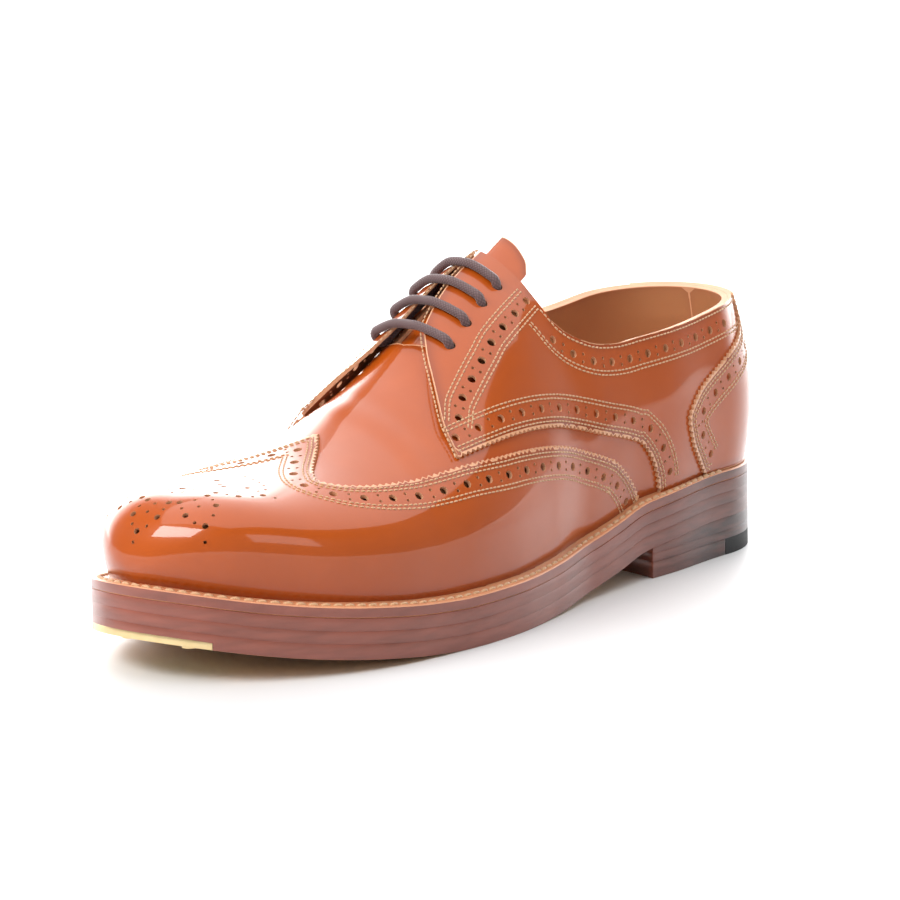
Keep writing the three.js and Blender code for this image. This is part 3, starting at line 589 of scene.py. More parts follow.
def inside(points, loop):
    """Which flat points lie inside a closed flat loop."""
    a, b = loop, np.roll(loop, -1, axis=0)
    within = np.zeros(len(points), bool)
    for start in range(0, len(points), 4000):
        p = points[start:start + 4000]
        crosses = (a[None, :, 1] > p[:, None, 1]) != (b[None, :, 1] > p[:, None, 1])
        rise = np.where(b[:, 1] == a[:, 1], 1e-12, b[:, 1] - a[:, 1])
        x = a[None, :, 0] + (p[:, None, 1] - a[None, :, 1]) * ((b - a)[:, 0] / rise)[None, :]
        within[start:start + 4000] = (crosses & (p[:, None, 0] < x)).sum(1) % 2 == 1
    return within


def nearest(points, targets):
    """Distance from each flat point to the nearest target."""
    out = np.empty(len(points))
    for start in range(0, len(points), 2000):
        part = points[start:start + 2000]
        out[start:start + 2000] = np.sqrt(((part[:, None] - targets[None]) ** 2).sum(-1).min(1))
    return out


def make_mesh(name, points, faces, materials, slots=None, normals=None, uv=None, border=None):
    """Mesh object from millimetre points, with its finish, normals and pattern coordinates."""
    mesh = bpy.data.meshes.new(name)
    mesh.from_pydata((np.asarray(points) * 0.001).tolist(), [], [list(f) for f in faces])
    for material in materials:
        mesh.materials.append(material)
    if slots is not None:
        mesh.polygons.foreach_set("material_index", np.asarray(slots, np.int32))
    mesh.polygons.foreach_set("use_smooth", np.ones(len(mesh.polygons), bool))
    corners = np.empty(len(mesh.loops), np.int32)
    mesh.loops.foreach_get("vertex_index", corners)
    if uv is not None:
        layer = mesh.uv_layers.new(name="pattern")
        layer.data.foreach_set("uv", (np.asarray(uv)[corners] * 0.001).ravel())
    if border is not None:
        layer = mesh.attributes.new("border_mm", "FLOAT", "POINT")
        layer.data.foreach_set("value", np.asarray(border, np.float32))
    if normals is not None:
        mesh.normals_split_custom_set(normals)
    mesh.update()
    piece = bpy.data.objects.new(name, mesh)
    bpy.context.collection.objects.link(piece)
    return piece


def pick(piece):
    """Make a piece the only selected and active one."""
    bpy.ops.object.select_all(action="DESELECT")
    bpy.context.view_layer.objects.active = piece
    piece.select_set(True)


def face_outwards(piece):
    """Turn a piece's faces outwards."""
    pick(piece)
    bpy.ops.object.mode_set(mode="EDIT")
    bpy.ops.mesh.select_all(action="SELECT")
    bpy.ops.mesh.normals_make_consistent(inside=False)
    bpy.ops.object.mode_set(mode="OBJECT")


def panel(name, plane, border, holes, materials, high=0.0, low=-LEATHER, lifted=False, spacing=2.2):
    """Leather panel cut to a border of spots and punched with holes, in face, cut edge and back finishes."""
    loops = [border, *holes]
    flats = [plane.flat(loop) for loop in loops]
    outer = flats[0]
    rims = np.vstack(flats)
    low_corner, high_corner = outer.min(0), outer.max(0)
    fill = []
    for i, y in enumerate(np.arange(low_corner[1], high_corner[1], spacing * 0.866)):
        x = np.arange(low_corner[0] + (i % 2) * spacing / 2, high_corner[0], spacing)
        fill.append(np.stack([x, np.full(len(x), y)], axis=1))
    fill = np.vstack(fill)
    fill = fill[inside(fill, outer)]
    fill = fill[nearest(fill, rims) > 0.55 * spacing]
    for flat in flats[1:]:
        middle = flat.mean(0)
        reach = np.sqrt(((flat - middle) ** 2).sum(1)).max()
        fill = fill[((fill - middle) ** 2).sum(1) > reach * reach]
    every = np.vstack([rims, fill])
    edges, start = [], 0
    for flat in flats:
        n = len(flat)
        edges += [(start + i, start + (i + 1) % n) for i in range(n)]
        start += n
    result = geometry.delaunay_2d_cdt([Vector(p) for p in every], edges, [], 0, 1e-5)
    places = np.array([tuple(v) for v in result[0]])
    triangles = np.array([f for f in result[2] if len(f) == 3])
    middles = places[triangles].mean(1)
    keep = inside(middles, outer)
    for flat in flats[1:]:
        centre = flat.mean(0)
        close = keep & (((middles - centre) ** 2).sum(1) < 9.0 + ((flat - centre) ** 2).sum(1).max())
        keep[close] &= ~inside(middles[close], flat)
    triangles = triangles[keep]
    if not len(triangles):
        raise RuntimeError(f"{name} came out empty")
    a, b, c = (places[triangles[:, i]] for i in range(3))
    area = (b - a)[:, 0] * (c - a)[:, 1] - (b - a)[:, 1] * (c - a)[:, 0]
    triangles = triangles[np.abs(area) > 1e-7]
    spots = plane.spots(places)
    known = {}
    for loop, flat in zip(loops, flats):
        known.update({(round(x, 4), round(y, 4)): spot for (x, y), spot in zip(flat, loop)})
    for i, (x, y) in enumerate(places):
        spots[i] = known.get((round(x, 4), round(y, 4)), spots[i])
    raised = high(spots) if callable(high) else high
    top, _ = surface(spots, raised, lifted)
    normal = true_normals(spots, raised, lifted)
    deep = low(spots) if callable(low) else low
    under, _ = surface(spots, deep, lifted)
    p, q, r = (top[triangles[:, i]] for i in range(3))
    facing = (np.cross(q - p, r - p) * normal[triangles[:, 0]]).sum(-1)
    triangles = np.where(facing[:, None] > 0, triangles, triangles[:, ::-1])
    count = len(places)
    half_edges = {(int(t[i]), int(t[(i + 1) % 3])) for t in triangles for i in range(3)}
    rim = [(i, j) for i, j in half_edges if (j, i) not in half_edges]
    walls, wall_points, wall_normals, wall_uv = [], [], [], []
    base = 2 * count
    for i, j in rim:
        quad = np.array([top[j], top[i], under[i], under[j]])
        face_normal = np.cross(quad[1] - quad[0], quad[2] - quad[0])
        face_normal /= max(np.linalg.norm(face_normal), 1e-9)
        wall_points.append(quad)
        wall_uv.append(places[[j, i, i, j]])
        walls.append(tuple(range(base, base + 4)))
        wall_normals += [face_normal] * 4
        base += 4
    points = np.vstack([top, under, *wall_points])
    faces = [*triangles.tolist(), *(triangles[:, ::-1] + count).tolist(), *walls]
    slots = [0] * len(triangles) + [2] * len(triangles) + [1] * len(walls)
    loop_normals = np.vstack([
        normal[triangles.ravel()], -normal[triangles[:, ::-1].ravel()], np.array(wall_normals)])
    border_mm = nearest(places, outer)
    edge_mm = np.concatenate([border_mm, border_mm, np.zeros(len(points) - 2 * count)])
    uv = np.vstack([places, places, *wall_uv])
    return make_mesh(name, points, faces, materials, slots, loop_normals, uv, edge_mm)


def past_vamp(spots):
    """1 above the vamp's hidden rear edge, where the lining lies against the quarters."""
    station = spots[:, 0]
    girth = np.abs(girth_at(station, spots[:, 1]))
    vamp_edge = 0.63 - 0.95 * (station - 0.35)
    return smooth_step((vamp_edge - 0.02 - girth) / 0.05) * smooth_step((0.50 - station) / 0.04)


def raised_lining(spots):
    """How far the lining rises with the facings, above where the vamp ends."""
    return past_vamp(spots) * facing_lift(spots[:, 0], spots[:, 1])


def lining_height(spots):
    """The lining's outer face: against the quarters behind, and under the vamp in front."""
    behind = np.where(spots[:, 0] < LINING_STEP, 1.0, past_vamp(spots))
    return -2.40 + 1.05 * behind + raised_lining(spots)


def girth_at_height(station, side, height):
    """Girth, without its sign, where the last reaches a height above the feather."""
    station, height = np.broadcast_arrays(np.asarray(station, float), np.asarray(height, float))
    found = []
    for s, h in zip(station.ravel(), height.ravel()):
        z = last_point(angle_of(s), side * SHARES)[:, 2]
        found.append(np.interp(h, (z - z[-1])[::-1], SHARES[::-1]))
    return np.array(found).reshape(station.shape)


def rounded_stations(low, high, count):
    """Stations that crowd together at the heel and toe."""
    a, b = angle_of(low), angle_of(high)
    return (1 - np.cos(np.linspace(a, b, count))) / 2


def topline_spots(side, low=0.0, high=TOPLINE_END, count=60):
    """The collar's top edge on one side."""
    station = rounded_stations(low, high, count)
    girth = girth_at_height(station, side, topline(station) * COLLAR_HEIGHT)
    return spots_of(station, side * girth)


def line_of(pairs, side=1):
    """Spots along a smooth line through pairs of station and girth, spaced by chord."""
    pairs = np.array(pairs, float)
    chord = np.concatenate([[0], np.cumsum(np.hypot(*(np.diff(pairs, axis=0) * [3.0, 1.0]).T))])
    rows = np.column_stack([chord, pairs])
    at = np.linspace(0, chord[-1], 12 * len(pairs))
    return spots_of(smooth_column(rows, 1)(at), side * smooth_column(rows, 2)(at))


def feather_spots(side, low, high, count):
    """The feather, where the upper meets the welt, on one side."""
    station = rounded_stations(low, high, count)
    return np.stack([station, np.full(count, float(side))], axis=-1)


def quarter_line(side):
    """Lower edge of a quarter, from the feather to the front corner."""
    station = np.concatenate([np.linspace(QUARTER_BACK, 0.30, 24), np.linspace(0.302, QUARTER_FRONT, 120)])
    return spots_of(station, side * quarter_edge(station))


def facing_line(side):
    """Front edge of a facing, from the front corner up to its top."""
    station = np.linspace(QUARTER_FRONT, FACING_TOP, 90)
    return spots_of(station, side * facing_edge(station))


def wing_line(side):
    """Edge of the wing cap on one side, from the peak to the feather."""
    girth = np.linspace(0, 1, 240)
    return spots_of(wing_edge(girth), side * girth)


def peaked(distance):
    """Line beside the wing cap's edge, from lateral to medial feather, mitred at the peak."""
    halves = []
    for side in (1, -1):
        line = parallel(wing_line(side)[::-1], distance, side)
        halves.append(line[line[:, 1] * side > 0.002])
    return np.vstack([halves[0], halves[1][::-1]])


def collar_girth(station, side):
    """Girth of the collar's top edge."""
    return girth_at_height(station, side, topline(station) * COLLAR_HEIGHT)


def counter_line(side):
    """Front edge of the heel counter, from the feather to the collar."""
    level = np.linspace(0, 1, 80)
    station = counter_edge(level)
    return spots_of(station, side * (1 + (collar_girth(station, side) - 1) * level))


def round_back(line, side):
    """A counter's line, carried on level from its end to the middle of the back."""
    station, reach = line[-1]
    girth = abs(float(girth_at(station, reach)))
    level = (1 - girth) / (1 - collar_girth(np.array([station]), side)[0])
    onward = station * (1 - np.linspace(0, 1, 25)[1:] ** 2)
    return np.vstack([line, spots_of(onward, side * (1 + (collar_girth(onward, side) - 1) * level))])


def part_of(line, low, high):
    """Part of a line between two shares of its length."""
    line = resample(line, 1.0)
    return line[int(low * (len(line) - 1)):int(high * (len(line) - 1)) + 1]


def brogue_holes(line, sizes, pitch):
    """Loops of a row of large holes with a pair of small ones between each two."""
    large = resample(line, pitch)
    small = []
    fine = resample(line, 0.5)
    points, big_points = surface(fine)[0], surface(large)[0]
    marks = [int(((points - p) ** 2).sum(1).argmin()) for p in big_points]
    for a, b in zip(marks[:-1], marks[1:]):
        middle = fine[(a + b) // 2]
        across = inward(fine[(a + b) // 2 - 1:(a + b) // 2 + 2])[1]
        for shift in (-1, 1):
            small.append(walk(middle[None], across[None], shift * sizes.small_hole * 1.15)[0])
    loops = hole_loops(large, sizes.large_hole / 2, 12)
    return loops + hole_loops(np.array(small), sizes.small_hole / 2, 8)


def medallion(sizes):
    """Toe medallion: a rosette with petals round it, in punched holes."""
    centre = float(np.interp(MEDALLION_STATION, STATIONS, RIDGE_RUN))
    large, small = [(0.0, 0.0)], []
    for turn in range(8):
        small.append((4.6 * math.cos(turn * math.pi / 4), 4.6 * math.sin(turn * math.pi / 4)))
    # A petal opens towards the rosette: five large holes, with small ones between and inside
    petal = [(9.0, -4.6), (14.6, -5.2), (19.4, 0.0), (14.6, 5.2), (9.0, 4.6)]
    buds = [(11.8, -5.2), (17.6, -3.2), (17.6, 3.2), (11.8, 5.2), (13.4, 0.0), (22.4, 0.0), (10.2, 0.0)]
    for degrees, stretch in ((-90, 1.25), (-30, 1.35), (-150, 1.35), (28, 1.35), (152, 1.35), (90, 0.8)):
        c, s = math.cos(math.radians(degrees)), math.sin(math.radians(degrees))
        for row, kind in ((petal, large), (buds, small)):
            kind += [((c * x - s * y / stretch) * stretch, (s * x + c * y / stretch) * stretch) for x,
                     y in row]
    arc = [(math.cos(a), math.sin(a)) for a in np.radians(np.arange(40, 141, 10.0))]
    small += [(26.0 * x, 4.0 + 20.0 * y) for x, y in arc]

    def spots(pairs):
        return FrontPlane.spots(np.array([(x - 1.0, centre - y) for x, y in pairs]))

    return (hole_loops(spots(large), sizes.large_hole * 0.36, 10)
            + hole_loops(spots(small), sizes.small_hole / 2, 8))


def capsules(name, centres, along, up, length, width, material):
    """Stitches: short rounded lengths of thread, all in one mesh."""
    along = along / np.linalg.norm(along, axis=-1, keepdims=True)
    side = np.cross(along, up)
    side /= np.linalg.norm(side, axis=-1, keepdims=True)
    up = np.cross(side, along)
    rings = [(-0.5, 0.55), (-0.34, 0.95), (0.0, 1.0), (0.34, 0.95), (0.5, 0.55)]
    points, faces = [], []
    for at, size in rings:
        sag = 0.30 * width * (at * 2) ** 2
        for k in range(6):
            turn = 2 * math.pi * (k + 0.5) / 6
            points.append(centres + along * (at * length) + side * (math.cos(turn) * width / 2 * size)
                          + up * (math.sin(turn) * width * 0.45 * size - sag))
    points = np.stack(points, axis=1)
    for ring in range(4):
        for k in range(6):
            a, b = ring * 6 + k, ring * 6 + (k + 1) % 6
            faces.append((a, b, b + 6, a + 6))
    faces += [tuple(range(5, -1, -1)), tuple(range(24, 30))]
    count = len(centres)
    every = [tuple(i * 30 + v for v in face) for i in range(count) for face in faces]
    piece = make_mesh(name, points.reshape(-1, 3), every, [material])
    face_outwards(piece)
    return piece


def seam(name, lines, sizes, material, height=0.0, lifted=False):
    """Stitches along lines of spots on the leather."""
    centres, along, up = [], [], []
    for line in lines:
        row = resample(line, sizes.stitch_pitch)
        points, _ = surface(row, height + 0.10, lifted)
        centres.append(points)
        along.append(np.gradient(points, axis=0))
        up.append(true_normals(row, height, lifted))
    share = 0.78 * sizes.stitch_pitch
    return capsules(name, np.vstack(centres), np.vstack(along), np.vstack(up), share,
                    sizes.thread_width, material)


def joined(name, pieces):
    """One object out of several."""
    bpy.ops.object.select_all(action="DESELECT")
    for piece in pieces:
        piece.select_set(True)
    bpy.context.view_layer.objects.active = pieces[0]
    if len(pieces) > 1:
        bpy.ops.object.join()
    pieces[0].name = name
    return pieces[0]


def finished(piece, slot, *nodes):
    """A finished piece rides on the shoe and stands for its CAD nodes."""
    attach(piece, "root")
    if nodes:
        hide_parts(*nodes)
    return piece


def sole_place(u, t):
    """Station and side of a place on the sole's plan, over -1..1 across and 0..1 along."""
    heel_share, toe_share = 0.2, 0.3
    heel = t < heel_share
    toe = t > 1 - toe_share
    v = np.where(heel, t / heel_share - 1, np.where(toe, (t - 1) / toe_share + 1, 0))
    a = u * np.sqrt(1 - v * v / 2)
    b = v * np.sqrt(1 - u * u / 2)
    side = a / np.sqrt(np.maximum(1 - b * b, 1e-9))
    middle = (t - heel_share) / (1 - heel_share - toe_share)
    station = np.where(heel, HEEL_ROUND[0] * (1 + b), np.where(toe, 1 - TOE_ROUND[0] * (1 - b),
                       HEEL_ROUND[0] + (1 - HEEL_ROUND[0] - TOE_ROUND[0]) * middle))
    return station, np.clip(side, -1, 1)


def slab(name, plan, bottom, top, counts, bevel, material):
    """Layer over a plan, from a grid that is extruded, fitted and bevelled."""
    bpy.ops.object.select_all(action="DESELECT")
    bpy.ops.mesh.primitive_grid_add(x_subdivisions=counts[0], y_subdivisions=counts[1], size=2)
    piece = bpy.context.object
    piece.name = name
    bpy.ops.object.mode_set(mode="EDIT")
    bpy.ops.mesh.select_all(action="SELECT")
    bpy.ops.mesh.extrude_region_move(TRANSFORM_OT_translate={"value": (0, 0, 1)})
    bpy.ops.object.mode_set(mode="OBJECT")
    mesh = piece.data
    place = np.empty(len(mesh.vertices) * 3)
    mesh.vertices.foreach_get("co", place)
    place = place.reshape(-1, 3)
    x, y = plan(place[:, 0], (place[:, 1] + 1) / 2)
    z = np.where(place[:, 2] > 0.5, top(y), bottom(y))
    fitted = (np.stack([x, y, z], axis=1) + ORIGIN) * 0.001
    mesh.vertices.foreach_set("co", fitted.ravel())
    mesh.update()
    bpy.ops.object.mode_set(mode="EDIT")
    bpy.ops.mesh.select_all(action="SELECT")
    bpy.ops.mesh.normals_make_consistent(inside=False)
    bpy.ops.object.mode_set(mode="OBJECT")
    if bevel:
        soften(piece, bevel)
    if material:
        mesh.materials.append(material)
    return piece


def natural_underside(piece, edge_finish):
    """Bare leather on the face underfoot, and a stained edge all round."""
    piece.data.materials.append(edge_finish)
    for polygon in piece.data.polygons:
        polygon.material_index = 0 if polygon.normal.z < -0.6 else 1


def soften(piece, width, segments=2, angle=50):
    """Bevelled edges and smooth faces."""
    pick(piece)
    bevel = piece.modifiers.new("soft edges", "BEVEL")
    bevel.width = width * 0.001
    bevel.segments = segments
    bevel.limit_method = "ANGLE"
    bevel.angle_limit = math.radians(angle)
    bpy.ops.object.modifier_apply(modifier=bevel.name)
    bpy.ops.object.shade_smooth_by_angle(angle=SMOOTH_ANGLE)


def plan_of_sole(inset=0.0):
    """Plan of the whole sole, or just inside it."""
    def plan(u, t):
        station, side = sole_place(u, t)
        return outline(station, side, 0.0, inset)
    return plan


def plan_of_heel(back, front):
    """Plan from one line across the heel to another, or from its round back."""
    def plan(u, t):
        if back is None:
            v = np.minimum(t / 0.5 - 1, 0)
            a, b = u * np.sqrt(1 - v * v / 2), v * np.sqrt(1 - u * u / 2)
            side = np.clip(a / np.sqrt(np.maximum(1 - b * b, 1e-9)), -1, 1)
            near = HEEL_ROUND[0] * 0.7 * (1 + b)
            station = np.where(t < 0.5, near, 0)
            far = (SOLE_LENGTH / 2 - front(side)) / SOLE_LENGTH
            begin = HEEL_ROUND[0] * 0.7
            station = np.where(t < 0.5, near, begin + (far - begin) * (t - 0.5) * 2)
        else:
            side = u
            ends = [(SOLE_LENGTH / 2 - line(side)) / SOLE_LENGTH for line in (back, front)]
            station = ends[0] + (ends[1] - ends[0]) * t
        return outline(station, side)
    return plan


def toe_plate_form(name, top, clearance):
    """Thick form over the toe plate's plan, for cutting."""
    tip = -SOLE_LENGTH / 2
    inner = TOE_PLATE_INNER_WIDTH / 2 + clearance
    run = TOE_PLATE_HALF_WIDTH * BALL_WIDTH - TOE_PLATE_INNER_WIDTH / 2
    slope = (TOE_PLATE_LENGTH - TOE_PLATE_SIDE_LENGTH) / run
    corner = inner + (TOE_PLATE_LENGTH + 3) / slope

    def plan(u, t):
        across = np.abs(u)
        x = np.where(across < 0.5, across * 2 * inner, inner + (across - 0.5) * 2 * (corner - inner))
        back = tip + TOE_PLATE_LENGTH + clearance - slope * np.maximum(0, x - inner)
        y = tip - 3.0 + (back - tip + 3.0) * t
        return BALL_WIDTH * float(outline_centre(TOE_PLATE_STATION)) + np.sign(u) * x, y

    return slab(name, plan, lambda y: underside(y) - 3.0, lambda y: underside(y) + top, (8, 24), 0, None)


def cut(piece, tool, operation):
    """Boolean of two pieces, applied."""
    pick(piece)
    shape = piece.modifiers.new("cut", "BOOLEAN")
    shape.operation = operation
    shape.solver = "EXACT"
    shape.object = tool
    bpy.ops.object.modifier_apply(modifier=shape.name)
    bpy.data.objects.remove(tool, do_unlink=True)


def studs(name, places, radius, rise, sides, material, slot=0.0):
    """Round heads on the underside, domed downwards, with a cross slot if one is asked for."""
    pieces = []
    for place in places:
        bpy.ops.object.select_all(action="DESELECT")
        bpy.ops.mesh.primitive_cylinder_add(vertices=sides, radius=radius * 0.001, depth=2 * rise * 0.001,
                                            end_fill_type="TRIFAN")
        head = bpy.context.object
        mesh = head.data
        points = np.empty(len(mesh.vertices) * 3)
        mesh.vertices.foreach_get("co", points)
        points = points.reshape(-1, 3)
        centre = np.hypot(points[:, 0], points[:, 1]) < 1e-6
        points[centre & (points[:, 2] < 0), 2] -= rise * 0.0006
        points += np.array(place) * 0.001
        mesh.vertices.foreach_set("co", points.ravel())
        mesh.materials.append(material)
        if slot:
            for turn in (0.4, 0.4 + math.pi / 2):
                bpy.ops.object.select_all(action="DESELECT")
                bpy.ops.mesh.primitive_cube_add(size=1)
                bar = bpy.context.object
                bar.scale = (radius * 1.1 * 0.001, slot * 0.001, rise * 1.6 * 0.001)
                bar.rotation_euler = (0, 0, turn)
                bar.location = Vector(place) * 0.001 - Vector((0, 0, rise * 0.0016))
                bpy.ops.object.transform_apply(location=True, rotation=True, scale=True)
                cut(head, bar, "DIFFERENCE")
        pieces.append(head)
    piece = joined(name, pieces)
    bpy.ops.object.shade_smooth_by_angle(angle=SMOOTH_ANGLE)
    return piece


def pin_triangle(x, y, outward):
    """Places of six pins in a triangle whose point looks outward."""
    places = []
    for row, count in enumerate((3, 2, 1)):
        for k in range(count):
            places.append((x + outward * row * PIN_PITCH * 0.87, y + (k - (count - 1) / 2) * PIN_PITCH))
    return places


def ring_round(name, sections, material, count=260):
    """Band round the whole sole with a closed section of insets and heights."""
    angle = np.linspace(0, math.pi, count // 2 + 1)
    station = np.concatenate([(1 - np.cos(angle))[:-1] / 2, (1 + np.cos(angle))[:-1] / 2])
    side = np.concatenate([np.ones(count // 2), -np.ones(count // 2)])
    rows = []
    for share, inset, height in sections:
        x, y = outline(station, side, share, inset)
        rows.append(np.stack([x, y, underside(y) + height], axis=1) + ORIGIN)
    points = np.stack(rows, axis=1)
    n, m = points.shape[:2]
    faces = [(i * m + j, ((i + 1) % n) * m + j, ((i + 1) % n) * m + (j + 1) % m, i * m + (j + 1) % m)
             for i in range(n) for j in range(m)]
    piece = make_mesh(name, points.reshape(-1, 3), faces, [material])
    face_outwards(piece)
    bpy.ops.object.shade_smooth_by_angle(angle=math.radians(40))
    return piece


def pin_places(rows, radius):
    """Places on the underside for triangles of pins, or for single pins of a smaller size."""
    places = []
    for station, side, inside_edge in rows:
        x, y = (float(v) for v in outline(station, side, 0.0, 0.0))
        x -= side * inside_edge
        for px, py in (pin_triangle(x, y, side) if radius > 0.8 else [(x, y)]):
            low = 0.0 if station < 0.28 else float(underside(py))
            places.append(np.array([px, py, low]) + ORIGIN)
    return places


def outline_run(share, inset, low, high, pitch):
    """Evenly spaced places on a line round the sole, from the lateral to the medial side."""
    angle = np.linspace(angle_of(low), math.pi, 900)
    station = (1 - np.cos(angle)) / 2
    lateral = np.stack(outline(station, 1, share, inset), axis=1)
    angle = np.linspace(math.pi, angle_of(high), 900)[1:]
    station = (1 - np.cos(angle)) / 2
    medial = np.stack(outline(station, -1, share, inset), axis=1)
    line = np.vstack([lateral, medial])
    run = np.concatenate([[0], np.cumsum(np.linalg.norm(np.diff(line, axis=0), axis=1))])
    at = np.arange(0, run[-1], pitch)
    return np.stack([np.interp(at, run, line[:, 0]), np.interp(at, run, line[:, 1])], axis=1)


def tube(name, path, radius, sides, material):
    """Round cord along a path, with a pattern in millimetres along and around it."""
    path = np.asarray(path, float)
    tangent = np.gradient(path, axis=0)
    tangent /= np.linalg.norm(tangent, axis=1, keepdims=True)
    normal = np.cross(tangent[0], [0.3, 0.5, 0.81])
    frames = []
    for t in tangent:
        normal = normal - (normal @ t) * t
        normal /= np.linalg.norm(normal)
        frames.append((normal, np.cross(t, normal)))
    run = np.concatenate([[0], np.cumsum(np.linalg.norm(np.diff(path, axis=0), axis=1))])
    points, uv = [], []
    for i, centre in enumerate(path):
        for k in range(sides):
            turn = 2 * math.pi * k / sides
            points.append(centre + radius * (math.cos(turn) * frames[i][0] + math.sin(turn) * frames[i][1]))
            uv.append((run[i], k / sides))
    faces = []
    for i in range(len(path) - 1):
        for k in range(sides):
            a, b = i * sides + k, i * sides + (k + 1) % sides
            faces.append((a, b, b + sides, a + sides))
    last = (len(path) - 1) * sides
    faces += [tuple(range(sides - 1, -1, -1)), tuple(range(last, last + sides))]
    mesh_piece = make_mesh(name, points, faces, [material])
    layer = mesh_piece.data.uv_layers.new(name="weave")
    values = []
    for polygon in mesh_piece.data.polygons:
        around = [uv[v][1] for v in polygon.vertices]
        wraps = max(around) - min(around) > 0.5
        values += [(uv[v][0] * 0.001, uv[v][1] + (1.0 if wraps and uv[v][1] < 0.5 else 0.0))
                   for v in polygon.vertices]
    layer.data.foreach_set("uv", np.array(values).ravel())
    return mesh_piece


# Finishes
def group_of(name, inputs, outputs):
    """Empty shader node group with its sockets."""
    tree = bpy.data.node_groups.new(name, "ShaderNodeTree")
    for label, kind, value in inputs:
        socket = tree.interface.new_socket(name=label, in_out="INPUT", socket_type=kind)
        socket.default_value = value
    for label, kind in outputs:
        tree.interface.new_socket(name=label, in_out="OUTPUT", socket_type=kind)
    return tree, tree.nodes.new("NodeGroupInput"), tree.nodes.new("NodeGroupOutput")


def node(tree, kind, links=None, **settings):
    """Node with its settings and what feeds it."""
    made = tree.nodes.new(kind)
    for name, value in settings.items():
        setattr(made, name, value)
    for socket, source in (links or {}).items():
        if isinstance(source, bpy.types.NodeSocket):
            tree.links.new(source, made.inputs[socket])
        else:
            made.inputs[socket].default_value = source
    return made


def mix_colour(tree, factor, first, second, blend="MIX"):
    """Colour between two others."""
    made = tree.nodes.new("ShaderNodeMix")
    made.data_type = "RGBA"
    made.blend_type = blend
    for index, source in ((0, factor), (6, first), (7, second)):
        if isinstance(source, bpy.types.NodeSocket):
            tree.links.new(source, made.inputs[index])
        else:
            made.inputs[index].default_value = source
    return made.outputs[2]


def maths(tree, operation, first, second=0.0, clamp=False):
    """One step of arithmetic on two values."""
    made = tree.nodes.new("ShaderNodeMath")
    made.operation = operation
    made.use_clamp = clamp
    for index, source in ((0, first), (1, second)):
        if isinstance(source, bpy.types.NodeSocket):
            tree.links.new(source, made.inputs[index])
        else:
            made.inputs[index].default_value = source
    return made.outputs[0]


def leather_tone_group():
    """Hand-coloured leather: soft clouds of dye, fine pores, darker edges, and a light rim along the border
    that is partly raw cut edge and partly painted highlight.
    """
    tree, start, end = group_of("leather tone", [
        ("Base", "NodeSocketColor", (0.5, 0.1, 0.02, 1)), ("Dark", "NodeSocketColor", (0.1, 0.02, 0.01, 1)),
        ("Clouds", "NodeSocketFloat", 0.3), ("Edge", "NodeSocketFloat", 0.5),
        ("Raw rim and highlight", "NodeSocketColor", (0.6, 0.3, 0.15, 1)),
    ], [("Color", "NodeSocketColor"), ("Roughness", "NodeSocketFloat"), ("Height", "NodeSocketFloat")])
    place = node(tree, "ShaderNodeTexCoord").outputs["Object"]
    cloud = node(tree, "ShaderNodeTexNoise", {"Vector": place, "Scale": 28.0, "Detail": 4.0})
    streak = node(tree, "ShaderNodeTexNoise", {"Vector": place, "Scale": 160.0, "Detail": 3.0})
    pores = node(tree, "ShaderNodeTexVoronoi", {"Vector": place, "Scale": 1500.0})
    grain = node(tree, "ShaderNodeTexNoise", {"Vector": place, "Scale": 900.0, "Detail": 5.0})
    border = node(tree, "ShaderNodeAttribute", attribute_name="border_mm")
    rim = maths(tree, "POWER", maths(tree, "SUBTRACT", 1.0,
                                     maths(tree, "DIVIDE", border.outputs["Fac"], 5.0, True), True), 2.0)
    shade = maths(tree, "MULTIPLY", cloud.outputs["Fac"], start.outputs["Clouds"])
    shade = maths(tree, "ADD", shade, maths(tree, "MULTIPLY", streak.outputs["Fac"], 0.10))
    shade = maths(tree, "ADD", shade, maths(tree, "MULTIPLY", rim, start.outputs["Edge"]), True)
    colour = mix_colour(tree, shade, start.outputs["Base"], start.outputs["Dark"])
    # Painted highlight: a thin light rim along the panel's border, partly the raw cut edge and partly light
    # on the gimped teeth
    raw_rim_highlight = maths(tree, "LESS_THAN", border.outputs["Fac"], 0.35)
    colour = mix_colour(tree, maths(tree, "MULTIPLY", raw_rim_highlight, 0.8), colour, start.outputs["Raw rim and highlight"])
    rough = maths(tree, "ADD", maths(tree, "MULTIPLY", streak.outputs["Fac"], 0.14), 0.26)
    height = maths(tree, "ADD", maths(tree, "MULTIPLY", pores.outputs["Distance"], 0.45),
                   grain.outputs["Fac"])
    tree.links.new(colour, end.inputs["Color"])
    tree.links.new(rough, end.inputs["Roughness"])
    tree.links.new(height, end.inputs["Height"])
    return tree


